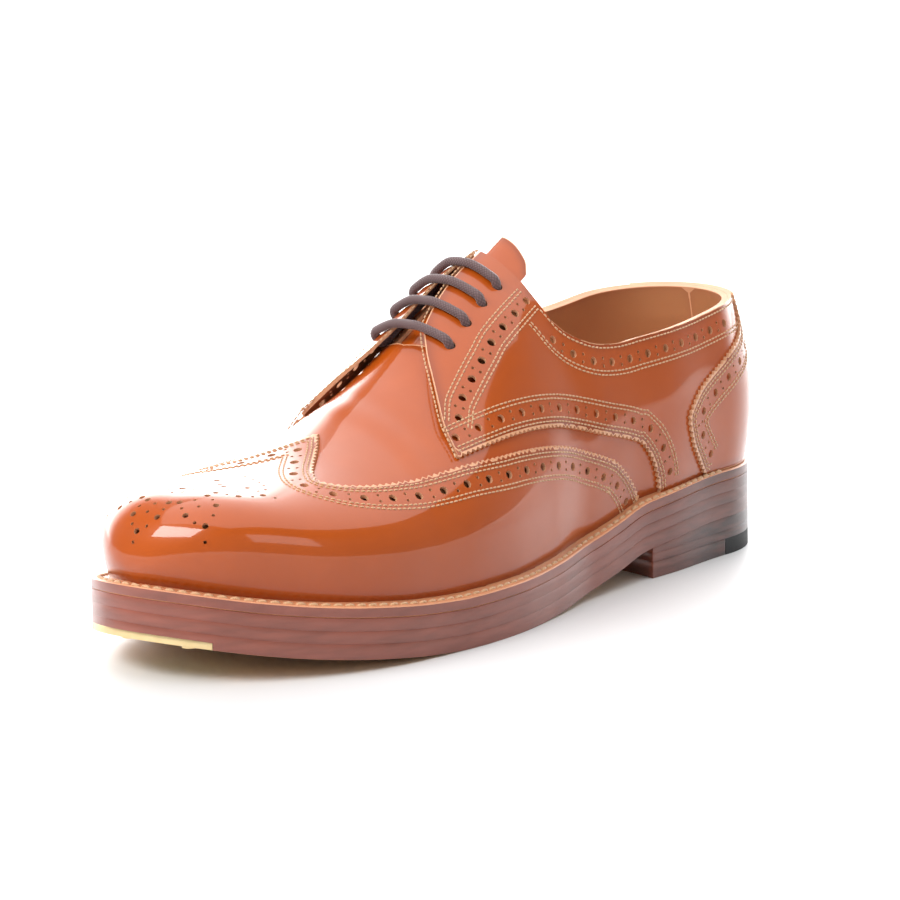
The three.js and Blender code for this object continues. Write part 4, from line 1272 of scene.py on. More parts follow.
def fibre_tone_group():
    """Sole leather and stacked edges: streaks along the layers, specks, pressed fibre, and painted shade
    that darkens them towards the heel's back.
    """
    tree, start, end = group_of("fibre tone", [
        ("Base", "NodeSocketColor", (0.5, 0.3, 0.1, 1)), ("Dark", "NodeSocketColor", (0.1, 0.05, 0.03, 1)),
        ("Streaks", "NodeSocketFloat", 0.5), ("Layer scale", "NodeSocketFloat", 420.0),
        ("Rear", "NodeSocketFloat", 0.0),
    ], [("Color", "NodeSocketColor"), ("Roughness", "NodeSocketFloat"), ("Height", "NodeSocketFloat")])
    place = node(tree, "ShaderNodeTexCoord").outputs["Object"]
    split = node(tree, "ShaderNodeSeparateXYZ", {0: place})
    flat = node(tree, "ShaderNodeCombineXYZ", {
        0: maths(tree, "MULTIPLY", split.outputs[0], 70.0), 1: maths(tree, "MULTIPLY", split.outputs[1],
                                                                     70.0),
        2: maths(tree, "MULTIPLY", split.outputs[2], start.outputs["Layer scale"])})
    streak = node(tree, "ShaderNodeTexNoise", {"Vector": flat.outputs[0], "Scale": 1.0, "Detail": 5.0})
    cloud = node(tree, "ShaderNodeTexNoise", {"Vector": place, "Scale": 40.0, "Detail": 5.0})
    fine = node(tree, "ShaderNodeTexNoise", {"Vector": place, "Scale": 1400.0, "Detail": 4.0})
    lines = maths(tree, "MULTIPLY", maths(tree, "SUBTRACT", streak.outputs["Fac"], 0.25),
                  start.outputs["Streaks"])
    shade = maths(tree, "ADD", lines, maths(tree, "MULTIPLY", cloud.outputs["Fac"], 0.35), True)
    # Painted shade: darker towards the heel's back, by the Rear share
    back = node(tree, "ShaderNodeMapRange", {"Value": split.outputs[1], "From Min": 0.02, "From Max": 0.14},
                interpolation_type="SMOOTHSTEP").outputs[0]
    shade = maths(tree, "ADD", shade, maths(tree, "MULTIPLY", back, start.outputs["Rear"]), True)
    colour = mix_colour(tree, shade, start.outputs["Base"], start.outputs["Dark"])
    rough = maths(tree, "ADD", maths(tree, "MULTIPLY", fine.outputs["Fac"], 0.2), 0.28)
    height = maths(tree, "ADD", streak.outputs["Fac"], maths(tree, "MULTIPLY", fine.outputs["Fac"], 0.3))
    tree.links.new(colour, end.inputs["Color"])
    tree.links.new(rough, end.inputs["Roughness"])
    tree.links.new(height, end.inputs["Height"])
    return tree


def principled(name, **settings):
    """Material with a Principled shader and its plain socket values."""
    material = bpy.data.materials.new(name)
    material.use_nodes = True
    tree = material.node_tree
    tree.nodes.clear()
    output = tree.nodes.new("ShaderNodeOutputMaterial")
    shader = tree.nodes.new("ShaderNodeBsdfPrincipled")
    tree.links.new(shader.outputs[0], output.inputs[0])
    for socket, value in settings.items():
        shader.inputs[socket.replace("_", " ")].default_value = value
    return material, tree, shader


def bump(tree, shader, height, strength, distance):
    """Relief in the shader's normal, its distance in millimetres."""
    made = node(tree, "ShaderNodeBump", {"Strength": strength, "Distance": distance * 0.001,
                                         "Height": height})
    tree.links.new(made.outputs[0], shader.inputs["Normal"])


def linear(colour):
    """Screen colour as light."""
    return (*[c / 12.92 if c <= 0.04045 else ((c + 0.055) / 1.055) ** 2.4 for c in colour[:3]], 1.0)


def toned(name, group, values, strength, distance, rough_shift=0.0, **settings):
    """Material whose colour, roughness and relief come from a tone group."""
    material, tree, shader = principled(name, **settings)
    tone = tree.nodes.new("ShaderNodeGroup")
    tone.node_tree = group
    for socket, value in values.items():
        tone.inputs[socket].default_value = value
    tree.links.new(tone.outputs["Color"], shader.inputs["Base Color"])
    rough = tone.outputs["Roughness"]
    if rough_shift:
        rough = maths(tree, "ADD", rough, rough_shift, True)
    tree.links.new(rough, shader.inputs["Roughness"])
    bump(tree, shader, tone.outputs["Height"], strength, distance)
    return material


def make_finishes(colours):
    """All of the shoe's materials by name."""
    leather, fibre = leather_tone_group(), fibre_tone_group()
    upper, dark = tuple(colours.upper), tuple(colours.burnish)
    finishes = {}
    finishes["cognac"] = toned("cognac calf", leather, {
        "Base": (*upper, 1), "Dark": (*dark, 1), "Clouds": 0.30, "Edge": 0.45,
        # The rim takes the raw edge colour: partly cut edge, partly painted highlight
        "Raw rim and highlight": (*colours.raw_edge, 1)}, 0.06, 0.04,
        Coat_Weight=0.9, Coat_Roughness=0.06, Specular_IOR_Level=0.15)
    finishes["raw edge"] = toned("raw cut edge", fibre, {
        "Base": (*colours.raw_edge, 1), "Dark": (*dark, 1), "Streaks": 0.35}, 0.3, 0.05, 0.25)
    finishes["flesh"] = toned("flesh side", fibre, {
        "Base": (*colours.lining, 1), "Dark": (*dark, 1), "Streaks": 0.2}, 0.3, 0.05, 0.4)
    finishes["lining"] = toned("calf lining", leather, {
        "Base": (*colours.lining, 1), "Dark": (*colours.sole_edge, 1), "Clouds": 0.25, "Edge": 0.2,
        # The rim takes the raw edge colour: partly cut edge, partly painted highlight
        "Raw rim and highlight": (*colours.raw_edge, 1)},
        0.2, 0.05, 0.35)
    finishes["welt"] = toned("storm welt", fibre, {
        "Base": (*colours.welt, 1), "Dark": (*colours.sole_edge, 1), "Streaks": 0.4}, 0.35, 0.1, 0.1,
        Coat_Weight=0.2, Coat_Roughness=0.25)
    finishes["sole edge"] = toned("burnished edge", fibre, {
        # Rear: painted shade on the burnished edge towards the heel's back
        "Base": (*colours.sole_edge, 1), "Dark": (*colours.heel, 1), "Streaks": 0.6, "Rear": 0.45}, 0.25,
        0.10, -0.04,
        Coat_Weight=0.45, Coat_Roughness=0.22)
    finishes["heel"] = toned("heel stack", fibre, {
        # Rear: painted shade on the heel stack towards its back
        "Base": (*colours.sole_edge, 1), "Dark": (*colours.heel, 1), "Streaks": 0.8, "Rear": 0.65}, 0.25,
        0.10, -0.04,
        Coat_Weight=0.45, Coat_Roughness=0.22)
    finishes["sole leather"] = toned("sole leather", fibre, {
        "Base": (*colours.sole, 1), "Dark": (*colours.welt, 1), "Streaks": 0.25}, 0.2, 0.05, 0.08,
        Coat_Weight=0.15, Coat_Roughness=0.3)
    finishes["rubber"] = toned("heel rubber", fibre, {
        "Base": (0.018, 0.018, 0.019, 1), "Dark": (0.008, 0.008, 0.009, 1), "Streaks": 0.2}, 0.5, 0.1, 0.3)
    material, tree, shader = principled("brass", Metallic=1.0, Roughness=0.3)
    place = node(tree, "ShaderNodeTexCoord").outputs["Object"]
    tarnish = node(tree, "ShaderNodeTexNoise", {"Vector": place, "Scale": 220.0, "Detail": 6.0})
    tree.links.new(mix_colour(tree, tarnish.outputs["Fac"], (0.88, 0.71, 0.40, 1), (0.72, 0.52, 0.25, 1)),
                   shader.inputs["Base Color"])
    bump(tree, shader, tarnish.outputs["Fac"], 0.15, 0.05)
    finishes["brass"] = material
    material, tree, shader = principled("steel", Metallic=1.0, Roughness=0.35)
    place = node(tree, "ShaderNodeTexCoord").outputs["Object"]
    marks = node(tree, "ShaderNodeTexNoise", {"Vector": place, "Scale": 400.0, "Detail": 4.0})
    tree.links.new(mix_colour(tree, marks.outputs["Fac"], (0.42, 0.44, 0.50, 1), (0.25, 0.26, 0.30, 1)),
                   shader.inputs["Base Color"])
    finishes["steel"] = material
    finishes["channel"] = toned("channel thread", fibre, {
        "Base": (*colours.welt, 1), "Dark": (*dark, 1), "Streaks": 0.4}, 0.2, 0.05, 0.3)
    for name, colour in (("thread", colours.thread), ("lace", colours.lace)):
        material, tree, shader = principled(name, Sheen_Weight=0.25)
        if name == "lace":
            place = node(tree, "ShaderNodeUVMap", uv_map="weave").outputs[0]
            split = node(tree, "ShaderNodeSeparateXYZ", {0: place})
            along = maths(tree, "MULTIPLY", split.outputs[0], 900.0)
            around = maths(tree, "MULTIPLY", split.outputs[1], 8.0)
            waves = [maths(tree, "SINE", maths(tree, "MULTIPLY", maths(tree, kind, along, around), math.pi))
                     for kind in ("ADD", "SUBTRACT")]
            weave = maths(tree, "ABSOLUTE", maths(tree, "MULTIPLY", waves[0], waves[1]))
        else:
            place = node(tree, "ShaderNodeTexCoord").outputs["Object"]
            weave = node(tree, "ShaderNodeTexNoise", {"Vector": place, "Scale": 2500.0}).outputs["Fac"]
        dark_tone = tuple(c * 0.45 for c in colour) + (1,)
        tree.links.new(mix_colour(tree, weave, dark_tone, (*colour, 1)), shader.inputs["Base Color"])
        rough = maths(tree, "SUBTRACT", 0.75, maths(tree, "MULTIPLY", weave, 0.25))
        tree.links.new(rough, shader.inputs["Roughness"])
        bump(tree, shader, weave, 0.6, 0.25)
        finishes[name] = material
    return finishes


def colour_property(name, description, value):
    """Colour that is given as on screen."""
    return FloatVectorProperty(name=name, description=description, subtype="COLOR", size=3,
                               min=0, max=1, default=linear(value)[:3])


class ShoeColours(bpy.types.PropertyGroup):
    """Colours of the shoe's leathers, thread and laces."""
    upper: colour_property("Upper", "Calf of vamp, wing cap and quarters", (0.70, 0.31, 0.05))
    burnish: colour_property("Burnish", "Polished-in dark tone at edges and seams", (0.36, 0.11, 0.04))
    # The raw edge colour also tints the light rim along panel borders, partly painted highlight
    raw_edge: colour_property("Raw edge", "Cut edge of the calf", (0.88, 0.66, 0.50))
    lining: colour_property("Lining", "Leather lining and insole", (0.72, 0.50, 0.32))
    thread: colour_property("Thread", "Seams of the upper and the welt", (0.88, 0.69, 0.51))
    welt: colour_property("Welt", "Welt around the upper", (0.84, 0.58, 0.40))
    sole_edge: colour_property("Sole edge", "Burnished edge of the midsoles", (0.61, 0.33, 0.26))
    heel: colour_property("Heel", "Darkest tone of the stacked heel", (0.20, 0.08, 0.06))
    sole: colour_property("Sole", "Natural leather underfoot", (0.93, 0.73, 0.48))
    lace: colour_property("Lace", "Waxed laces", (0.42, 0.31, 0.31))


def length_property(name, description, millimetres):
    """Length in metres, with its default given in millimetres."""
    return FloatProperty(
        name=name, description=description, default=millimetres * 0.001, min=0.00005, max=0.05,
        precision=5, subtype="DISTANCE", unit="LENGTH")


def in_millimetres(lengths):
    """Lengths of a property group in millimetres."""
    names = type(lengths).__annotations__
    return SimpleNamespace(**{name: round(getattr(lengths, name) * 1000, 4) for name in names})


class ShoeSizes(bpy.types.PropertyGroup):
    """Sizes of the decoration."""
    tooth: length_property("Tooth", "Pitch of the gimped edges", 2.4)
    tooth_depth: length_property("Tooth depth", "Depth of the gimped edges", 1.1)
    large_hole: length_property("Large hole", "Diameter of a large punched hole", 3.0)
    small_hole: length_property("Small hole", "Diameter of a small punched hole", 1.2)
    hole_pitch: length_property("Hole pitch", "From one large hole to the next", 10.5)
    stitch_pitch: length_property("Stitch pitch", "Length of a stitch with its gap", 2.0)
    thread_width: length_property("Thread width", "Width of the upper's thread", 0.62)
    welt_pitch: length_property("Welt pitch", "Length of a welt stitch with its gap", 4.2)
    lace_width: length_property("Lace width", "Diameter of the round lace", 3.2)


class OBJECT_OT_shoe_lining(bpy.types.Operator):
    """Thin lining inside vamp and quarters, and the board that the foot rests on"""
    bl_idname = "object.shoe_lining"
    bl_label = "Lining"

    def execute(self, context):
        finishes = FINISHES
        halves = []
        for side in (1, -1):
            station = np.linspace(THROAT, FACING_TOP, 50)
            edge = spots_of(station, side * (np.minimum(facing_edge(station), 0.24) + 0.02))
            top = topline_spots(side)[::-1]
            back = np.stack([np.zeros(28), side * np.linspace(abs(top[-1][1]), 1, 30)[1:-1]], axis=1)
            ridge = rounded_stations(THROAT + 0.004, 1, 60)[:-1][::-1]
            ridge = np.stack([ridge, np.full(59, side * 1e-4)], axis=1)
            border = np.vstack([feather_spots(side, 0, 1, 120), ridge, edge, top, back])
            halves.append(panel(f"lining_{side}", RearPlane(side), border, [], [
                finishes["flesh"], finishes["raw edge"], finishes["lining"]],
                high=lining_height, low=lambda spots: -3.6 + raised_lining(spots), spacing=4.0))
        finished(joined("lining", halves), "lining", "upper")
        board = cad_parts["insole"]
        board.data.materials.clear()
        board.data.materials.append(finishes["lining"])
        return {"FINISHED"}


class OBJECT_OT_shoe_vamp(bpy.types.Operator):
    """Vamp between the wing cap and the facings, and the tongue under the throat"""
    bl_idname = "object.shoe_vamp"
    bl_label = "Vamp and tongue"

    def execute(self, context):
        finishes = FINISHES
        girth = np.linspace(-1, 1, 240)
        front = spots_of(np.minimum(wing_edge(np.abs(girth)) + 0.035, 0.97), girth)
        back = line_of(VAMP_BACK)
        mirrored = back * [1, -1]
        sides = [feather_spots(side, 0.217, wing_edge(1.0) + 0.033, 20) for side in (1, -1)]
        border = np.vstack([front, sides[0][::-1], back, mirrored[::-1][1:], sides[1]])
        vamp = panel("vamp", FrontPlane, border, [], [
            finishes["cognac"], finishes["raw edge"], finishes["flesh"]], high=-1.3, low=-2.3)
        finished(vamp, "upper")
        top = FACING_TOP - 12 / SOLE_LENGTH
        round_top = [(top + 0.012, 0.24), (top + 0.003, 0.20), (top, 0.10), (top, 0.0)]
        lateral = np.vstack([line_of(TONGUE_SIDE),
                             line_of(round_top)])
        border = np.vstack([lateral, (lateral * [1, -1])[::-1][1:]])
        tongue = panel("tongue_leather", FrontPlane, border, [], [
            finishes["cognac"], finishes["raw edge"], finishes["flesh"]], high=-3.7, low=-5.4, spacing=3.0)
        finished(tongue, "upper", "tongue")
        return {"FINISHED"}


class OBJECT_OT_shoe_wing_cap(bpy.types.Operator):
    """Wing cap with its gimped edge, brogue holes, toe medallion and seams"""
    bl_idname = "object.shoe_wing_cap"
    bl_label = "Wing cap"

    def execute(self, context):
        sizes, finishes = in_millimetres(context.scene.shoe_sizes), FINISHES
        lateral, medial = wing_line(1), wing_line(-1)
        edge = np.vstack([lateral[::-1], medial[1:]])
        gimp = gimped(edge, -1, sizes.tooth, sizes.tooth_depth)
        rim = np.vstack([feather_spots(-1, wing_edge(1.0), 1, 140)[1:], feather_spots(1, wing_edge(1.0),
                                                                                      1, 140)[::-1][1:-1]])
        border = np.vstack([gimp, rim])
        band = part_of(peaked(HOLE_ROW), 0.012, 0.988)
        holes = brogue_holes(band, sizes, sizes.hole_pitch) + medallion(sizes)
        cap = panel("wing_cap_leather", FrontPlane, border, holes, [
            finishes["cognac"], finishes["raw edge"], finishes["flesh"]], high=0.0, low=-1.28)
        finished(cap, "upper", "wing_cap")
        rows = [part_of(peaked(d), 0.004, 0.996) for d in SEAM_ROWS]
        finished(seam("wing_cap_seams", rows, sizes, finishes["thread"]), "upper")
        return {"FINISHED"}


class OBJECT_OT_shoe_quarters(bpy.types.Operator):
    """Quarters with facings, eyelet holes, brogued strips and seams"""
    bl_idname = "object.shoe_quarters"
    bl_label = "Quarters"

    def execute(self, context):
        sizes, finishes = in_millimetres(context.scene.shoe_sizes), FINISHES
        for side, name in ((1, "lateral"), (-1, "medial")):
            lower = quarter_line(side)
            gimp = gimped(lower, side, sizes.tooth, sizes.tooth_depth)
            facing = facing_line(side)
            top = topline_spots(side)
            back = np.stack([np.zeros(28), side * np.linspace(abs(top[0][1]), 1, 30)[1:-1]], axis=1)
            border = np.vstack([gimp, facing[1:], top[::-1], back,
                                feather_spots(side, 0, QUARTER_BACK, 30)[:-1]])
            band = part_of(parallel(lower, HOLE_ROW, -side), 0.03, 0.975)
            strip = line_of(STRIP, side)
            collar = parallel(topline_spots(side, 0.06, 0.425), HOLE_ROW, side)
            holes = brogue_holes(band, sizes, sizes.hole_pitch)
            holes += brogue_holes(part_of(strip, 0.04, 0.98), sizes, 8.6)
            holes += brogue_holes(part_of(collar, 0.12, 0.97), sizes, sizes.hole_pitch)
            centres = spots_of(np.array(EYELET_STATIONS), side * EYELET_GIRTH)
            holes += hole_loops(centres, sizes.lace_width / 2 + 0.2, 16)
            quarter = panel(f"quarter_{name}_leather", RearPlane(side), border, holes, [
                finishes["cognac"], finishes["raw edge"], finishes["flesh"]],
                high=0.0, low=-1.28, lifted=True)
            finished(quarter, "upper", f"quarter_{name}")
            rows = [part_of(parallel(lower, d, -side), 0.01, 0.985) for d in SEAM_ROWS]
            rows += [part_of(parallel(strip, d, side), 0.01, 0.99) for d in (-4.8, -3.4, 3.4, 4.8)]
            rows += [parallel(facing, 1.1, side)]
            rows += [parallel(topline_spots(side, 0.0, 0.43), d, side) for d in (1.4, *SEAM_ROWS[2:])]
            finished(seam(f"quarter_{name}_seams", rows, sizes, finishes["thread"], lifted=True), "upper")
        return {"FINISHED"}


class OBJECT_OT_shoe_counter(bpy.types.Operator):
    """Heel counter round the back, gimped and brogued along its front"""
    bl_idname = "object.shoe_counter"
    bl_label = "Heel counter"

    def execute(self, context):
        sizes, finishes = in_millimetres(context.scene.shoe_sizes), FINISHES
        lines = {side: counter_line(side) for side in (1, -1)}
        tops = {side: topline_spots(side, 0.0, 0.035, 12) for side in (1, -1)}
        border = np.vstack([
            gimped(lines[1], 1, sizes.tooth, sizes.tooth_depth),
            tops[1][::-1][1:], tops[-1][1:],
            gimped(lines[-1], 1, sizes.tooth, sizes.tooth_depth)[::-1][1:],
            feather_spots(-1, 0, COUNTER_FRONT, 40)[::-1][1:], feather_spots(1, 0, COUNTER_FRONT,
                                                                             40)[1:-1]])
        bands, rows = [], []
        for side in (1, -1):
            bands.append(round_back(part_of(parallel(lines[side], HOLE_ROW, -side), 0.03, 0.84), side))
            rows += [part_of(parallel(lines[side], d, -side), 0.01, 0.99) for d in SEAM_ROWS[:2]]
            rows += [round_back(part_of(parallel(lines[side], d, -side), 0.01, 0.84), side)
                     for d in SEAM_ROWS[2:]]
        holes = brogue_holes(np.vstack([bands[0], bands[1][::-1][1:]]), sizes, sizes.hole_pitch)
        counter = panel("heel_counter_leather", RearPlane(0), border, holes, [
            finishes["cognac"], finishes["raw edge"], finishes["flesh"]], high=1.1, low=0.0)
        finished(counter, "upper", "heel_counter")
        finished(seam("heel_counter_seams", rows, sizes, finishes["thread"], height=1.1), "upper")
        return {"FINISHED"}


class OBJECT_OT_shoe_lace(bpy.types.Operator):
    """One round lace through all of the eyelets, its hidden ends stopping at the top pair"""
    bl_idname = "object.shoe_lace"
    bl_label = "Lace"

    def execute(self, context):
        sizes = in_millimetres(context.scene.shoe_sizes)
        radius = sizes.lace_width / 2
        over, under = radius + 0.1, -LEATHER - radius - 0.1

        def at(index, girth, height):
            spot = spots_of(np.array([EYELET_STATIONS[index]]), np.array([girth]))
            return surface(spot, height, True)[0][0]

        def bar(index, start):
            girths = [(EYELET_GIRTH, under), (EYELET_GIRTH, -LEATHER / 2), (EYELET_GIRTH - 0.012, over),
                      (0.15, over), (0.10, over), (0.05, over), (0.0, over - 0.4)]
            half = [at(index, start * g, h) for g, h in girths]
            rest = [at(index, -start * g, h) for g, h in girths[:-1]]
            return half + rest[::-1]

        def hidden(low, high, side):
            return [surface(spots_of(np.array([s]), np.array([side * (EYELET_GIRTH - 0.01)])), under - 0.2,
                            True)[0][0] for s in np.linspace(low, high, 5)[1:-1]]

        first, second, third, top = EYELET_STATIONS[3], EYELET_STATIONS[2], EYELET_STATIONS[1], \
            EYELET_STATIONS[0]
        route = bar(0, 1) + hidden(top, second, -1) + bar(2, -1) + hidden(second, first, 1) + bar(3, 1)
        route += hidden(first, third, -1) + bar(1, -1) + hidden(third, top, 1)
        route = np.array(route)
        knots = np.concatenate([[0], np.cumsum(np.linalg.norm(np.diff(route, axis=0), axis=1))])
        rows = np.column_stack([knots, route])
        even = np.linspace(0, knots[-1], int(knots[-1] / 1.1))
        path = np.stack([smooth_column(rows, i)(even) for i in (1, 2, 3)], axis=1)
        for _ in range(2):
            path[1:-1] = (path[:-2] + 2 * path[1:-1] + path[2:]) / 4
        lace = tube("lace", path, radius, 12, FINISHES["lace"])
        finished(lace, "lace", *[f"lace_bar_{i}" for i in range(1, 5)])
        return {"FINISHED"}


class OBJECT_OT_shoe_sole(bpy.types.Operator):
    """Outsole, midsoles and welt with its stitches, toe plate and pins"""
    bl_idname = "object.shoe_sole"
    bl_label = "Sole"

    def execute(self, context):
        sizes, finishes = in_millimetres(context.scene.shoe_sizes), FINISHES
        layers = [("outsole_leather", 0.0, OUTSOLE_TOP, "sole leather", "sole_leather", "outsole"),
                  ("midsole_lower_leather", OUTSOLE_TOP, MIDSOLE_LOWER_TOP, "sole edge", "sole_edge",
                   "midsole_lower"),
                  ("midsole_upper_leather", MIDSOLE_LOWER_TOP, MIDSOLE_UPPER_TOP, "sole edge",
                   "sole_edge", "midsole_upper")]
        for name, low, high, finish, slot, cad in layers:
            piece = slab(name, plan_of_sole(), lambda y, low=low: underside(y) + low,
                         lambda y, high=high: underside(y) + high, (28, 150), 0.35, finishes[finish])
            if cad == "outsole":
                cut(piece, toe_plate_form("recess", TOE_PLATE, 0.0), "DIFFERENCE")
                natural_underside(piece, finishes["sole edge"])
            finished(piece, slot, cad)
        plate = slab("toe_plate_brass", plan_of_sole(0.05), underside, lambda y: underside(y) + TOE_PLATE,
                     (28, 150), 0.2, finishes["brass"])
        cut(plate, toe_plate_form("plate form", TOE_PLATE + 2, -0.1), "INTERSECT")
        finished(plate, "brass", "toe_plate")
        centre = BALL_WIDTH * float(outline_centre(TOE_PLATE_STATION))
        heads = []
        for across, share in SCREWS:
            y = -SOLE_LENGTH / 2 + share * TOE_PLATE_LENGTH
            heads.append(np.array([centre + BALL_WIDTH * across, y, float(underside(y))]) + ORIGIN)
        screws = studs("toe_plate_screws", heads, 2.7, 0.4, 32, finishes["brass"], slot=0.5)
        finished(screws, "brass", "toe_plate_screw_1", "toe_plate_screw_2", "toe_plate_screw_3")
        pins = studs("forefoot_pins", pin_places(FOREFOOT_PINS, 1.0), PIN_RADIUS, 0.12, 16,
                     finishes["brass"])
        finished(pins, "brass")
        line = outline_run(0.0, CHANNEL_INSET, 0.36, 0.36, 3.0)
        line = line[line[:, 1] > -SOLE_LENGTH / 2 + TOE_PLATE_LENGTH + 4]
        places = np.column_stack([line, underside(line[:, 1]) - 0.02]) + ORIGIN
        channel = capsules("channel_stitches", places, np.gradient(places, axis=0),
                           np.tile([0.0, 0.0, -1.0], (len(places), 1)), 1.3, 0.45, finishes["channel"])
        finished(channel, "sole_leather")
        welt = ring_round("welt_leather", WELT_SECTION, finishes["welt"])
        welt.data.materials.append(finishes["sole edge"])
        for polygon in welt.data.polygons:
            if abs(polygon.normal.z) < 0.6:
                polygon.material_index = 1
        finished(welt, "welt", "welt")
        line = outline_run(WELT_SEAM[0], 0.0, 0.14, 0.14, sizes.welt_pitch)
        places = np.column_stack([line, underside(line[:, 1]) + WELT_SEAM[1]]) + ORIGIN
        along = np.gradient(places, axis=0)
        up = np.tile([0.0, 0.0, 1.0], (len(places), 1))
        finished(capsules("welt_stitches", places, along, up, 3.5, 1.5, finishes["thread"]), "welt")
        return {"FINISHED"}


class OBJECT_OT_shoe_heel(bpy.types.Operator):
    """Heel wedge, lift and top piece, with the rubber rear corner"""
    bl_idname = "object.shoe_heel"
    bl_label = "Heel"

    def execute(self, context):
        finishes = FINISHES

        def breast(side):
            return SOLE_LENGTH / 2 - HEEL_LENGTH + HEEL_BREAST_CURVE * (1 - side * side)

        def joint(shift):
            return lambda side: (SOLE_LENGTH / 2 - RUBBER_MEDIAL
                                 - (RUBBER_LATERAL - RUBBER_MEDIAL) * (side + 1) / 2 + shift)

        lift_top = TOP_PIECE + (underside(SOLE_LENGTH / 2 - HEEL_LENGTH) - TOP_PIECE) * LIFT_SHARE

        def flat(height):
            return (lambda y: np.full_like(y, height))

        pieces = [
            ("heel_wedge_leather", plan_of_heel(None, breast), flat(float(lift_top)),
             lambda y: underside(y), "heel", "heel", "heel_wedge"),
            ("heel_lift_leather", plan_of_heel(None, breast), flat(TOP_PIECE), flat(float(lift_top)),
             "heel", "heel", "heel_lift"),
            ("heel_top_rubber", plan_of_heel(None, joint(0.1)), flat(0.0), flat(TOP_PIECE),
             "rubber", "rubber", "heel_top_piece_rubber"),
            ("heel_top_leather", plan_of_heel(joint(-0.1), breast), flat(0.0), flat(TOP_PIECE),
             "heel", "heel", "heel_top_piece_leather"),
        ]
        for name, plan, low, high, finish, slot, cad in pieces:
            piece = slab(name, plan, low, high, (24, 60), 0.3, finishes[finish])
            if cad == "heel_top_piece_leather":
                piece.data.materials.clear()
                piece.data.materials.append(finishes["sole leather"])
                natural_underside(piece, finishes["heel"])
            finished(piece, slot, cad)
        pins = studs("heel_pins", pin_places(HEEL_PINS, 1.0), PIN_RADIUS, 0.12, 16, finishes["brass"])
        finished(pins, "brass")
        steel = studs("heel_steel_pins", pin_places(STEEL_PINS, 0.7), STEEL_PIN_RADIUS, 0.12, 12,
                      finishes["steel"])
        finished(steel, "brass")
        return {"FINISHED"}


def studio_world():
    """Bright low backdrop behind the shoe, and a dim room above and in front."""
    world = bpy.data.worlds.new("studio")
    world.use_nodes = True
    tree = world.node_tree
    place = node(tree, "ShaderNodeTexCoord").outputs["Generated"]
    height = node(tree, "ShaderNodeSeparateXYZ", {0: place}).outputs[2]
    low = node(tree, "ShaderNodeMapRange", {"Value": height, "From Min": 0.40, "From Max": 0.68,
                                            "To Min": 1.0, "To Max": 0.0},
               interpolation_type="SMOOTHSTEP").outputs[0]
    behind = node(tree, "ShaderNodeVectorMath", {0: place, 1: (-0.63, 0.78, 0.0)},
                  operation="DOT_PRODUCT").outputs["Value"]
    rear = node(tree, "ShaderNodeMapRange", {"Value": behind, "From Min": 0.40, "From Max": 0.85,
                                             "To Min": 0.03, "To Max": 1.0},
                interpolation_type="SMOOTHSTEP").outputs[0]
    strength = maths(tree, "ADD", maths(tree, "MULTIPLY", maths(tree, "MULTIPLY", low, rear), BACKDROP),
                     ROOM)
    tree.links.new(strength, tree.nodes["Background"].inputs["Strength"])
    tree.nodes["Background"].inputs["Color"].default_value = (1, 1, 1, 1)
    return world


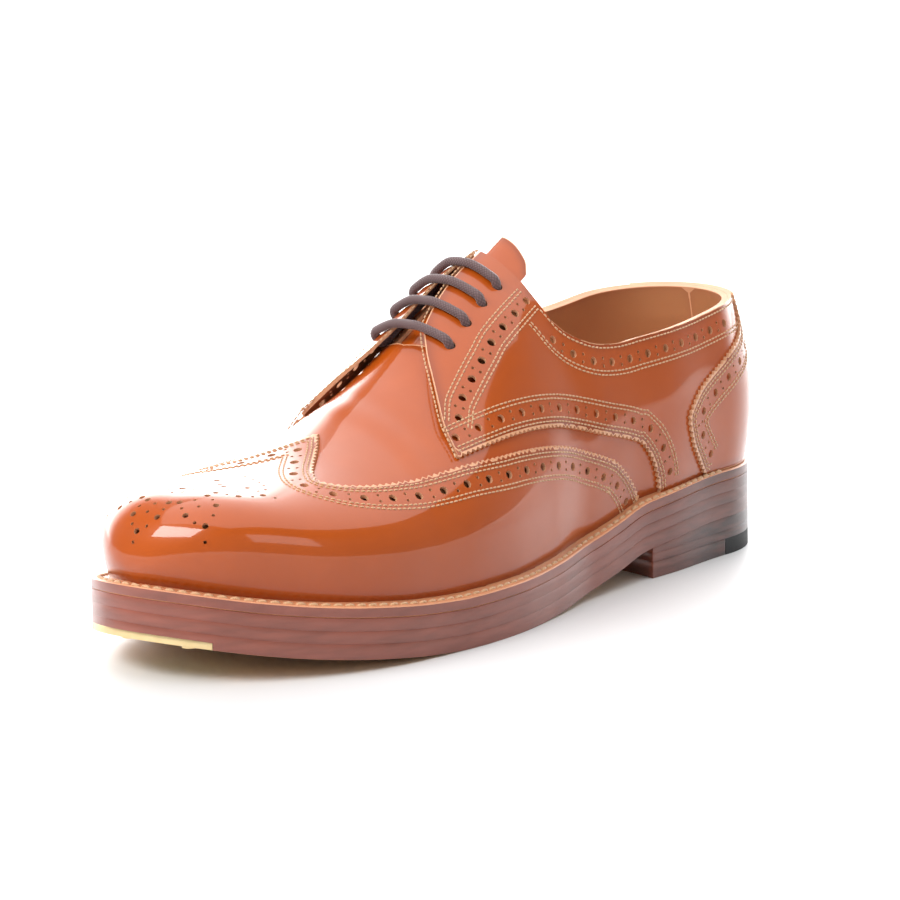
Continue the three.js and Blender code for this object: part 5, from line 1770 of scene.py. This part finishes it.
class OBJECT_OT_shoe_stage(bpy.types.Operator):
    """Pale floor, soft studio lights and the camera"""
    bl_idname = "object.shoe_stage"
    bl_label = "Stage"

    def execute(self, context):
        bpy.ops.object.select_all(action="DESELECT")
        bpy.ops.mesh.primitive_plane_add(size=12)
        floor = context.object
        floor.name = "floor"
        material, tree, shader = principled("pale floor", Roughness=0.5)
        place = node(tree, "ShaderNodeTexCoord").outputs["Object"]
        noise = node(tree, "ShaderNodeTexNoise", {"Vector": place, "Scale": 3.0})
        tree.links.new(mix_colour(tree, noise.outputs["Fac"], (0.62, 0.62, 0.63, 1), (0.66, 0.66, 0.66, 1)),
                       shader.inputs["Base Color"])
        away = node(tree, "ShaderNodeVectorMath", {0: place}, operation="LENGTH").outputs["Value"]
        glow = node(tree, "ShaderNodeMapRange", {"Value": away, "From Min": 0.35, "From Max": 2.2,
                                                 "To Min": 0.0, "To Max": 1.0}).outputs[0]
        shader.inputs["Emission Strength"].default_value = 0.75
        grey = node(tree, "ShaderNodeCombineXYZ", {0: glow, 1: glow, 2: glow})
        tree.links.new(grey.outputs[0], shader.inputs["Emission Color"])
        floor.data.materials.append(material)
        for name, place, size, power in LIGHTS:
            data = bpy.data.lights.new(name, "AREA")
            data.shape, data.size, data.size_y, data.energy = "RECTANGLE", *size, power
            lamp = bpy.data.objects.new(name, data)
            lamp.location = place
            turn = (Vector((0, 0, 0.05)) - Vector(place)).to_track_quat("-Z", "Y")
            lamp.rotation_euler = turn.to_euler()
            context.collection.objects.link(lamp)
        context.scene.world = studio_world()
        context.scene.view_settings.view_transform = "Standard"
        azimuth, elevation, roll = (math.radians(a) for a in CAMERA_ANGLES)
        back = Vector((math.sin(azimuth) * math.cos(elevation), -math.cos(azimuth) * math.cos(elevation),
                       math.sin(elevation)))
        aim = Vector(CAMERA_AIM)
        data = bpy.data.cameras.new("camera")
        data.lens = CAMERA_LENS
        camera = bpy.data.objects.new("camera", data)
        camera.location = aim + back * CAMERA_DISTANCE
        turn = (-back).to_track_quat("-Z", "Y").to_matrix()
        spin = Vector((0, 0, 1))
        camera.rotation_euler = (turn @ Matrix.Rotation(-roll, 3, spin)).to_euler()
        context.collection.objects.link(camera)
        context.scene.camera = camera
        return {"FINISHED"}


FINISHES = {}

STEPS = ("shoe_lining", "shoe_vamp", "shoe_wing_cap", "shoe_quarters", "shoe_counter", "shoe_lace",
         "shoe_sole", "shoe_heel", "shoe_stage")


class VIEW3D_PT_shoe(bpy.types.Panel):
    """The shoe's sizes, colours and pieces"""
    bl_label = "Full brogue derby"
    bl_space_type = "VIEW_3D"
    bl_region_type = "UI"
    bl_category = "Shoe"

    def draw(self, context):
        for group in (context.scene.shoe_sizes, context.scene.shoe_colours):
            for name in group.bl_rna.properties.keys():
                if name not in ("rna_type", "name"):
                    self.layout.prop(group, name)
        for step in STEPS:
            self.layout.operator(f"object.{step}")


CLASSES = (
    ShoeColours, ShoeSizes, OBJECT_OT_shoe_lining, OBJECT_OT_shoe_vamp, OBJECT_OT_shoe_wing_cap,
    OBJECT_OT_shoe_quarters, OBJECT_OT_shoe_counter, OBJECT_OT_shoe_lace, OBJECT_OT_shoe_sole,
    OBJECT_OT_shoe_heel, OBJECT_OT_shoe_stage, VIEW3D_PT_shoe,
)


def register():
    """Add the classes and their settings."""
    for item in CLASSES:
        bpy.utils.register_class(item)
    bpy.types.Scene.shoe_sizes = PointerProperty(type=ShoeSizes)
    bpy.types.Scene.shoe_colours = PointerProperty(type=ShoeColours)


def unregister():
    """Take the classes and their settings away."""
    del bpy.types.Scene.shoe_colours
    del bpy.types.Scene.shoe_sizes
    for item in reversed(CLASSES):
        bpy.utils.unregister_class(item)


def main():
    """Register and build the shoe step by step."""
    register()
    FINISHES.update(make_finishes(bpy.context.scene.shoe_colours))
    for step in STEPS:
        if getattr(bpy.ops.object, step)() != {"FINISHED"}:
            raise RuntimeError(f"{step} did not finish")


if __name__ == "__main__":
    main()
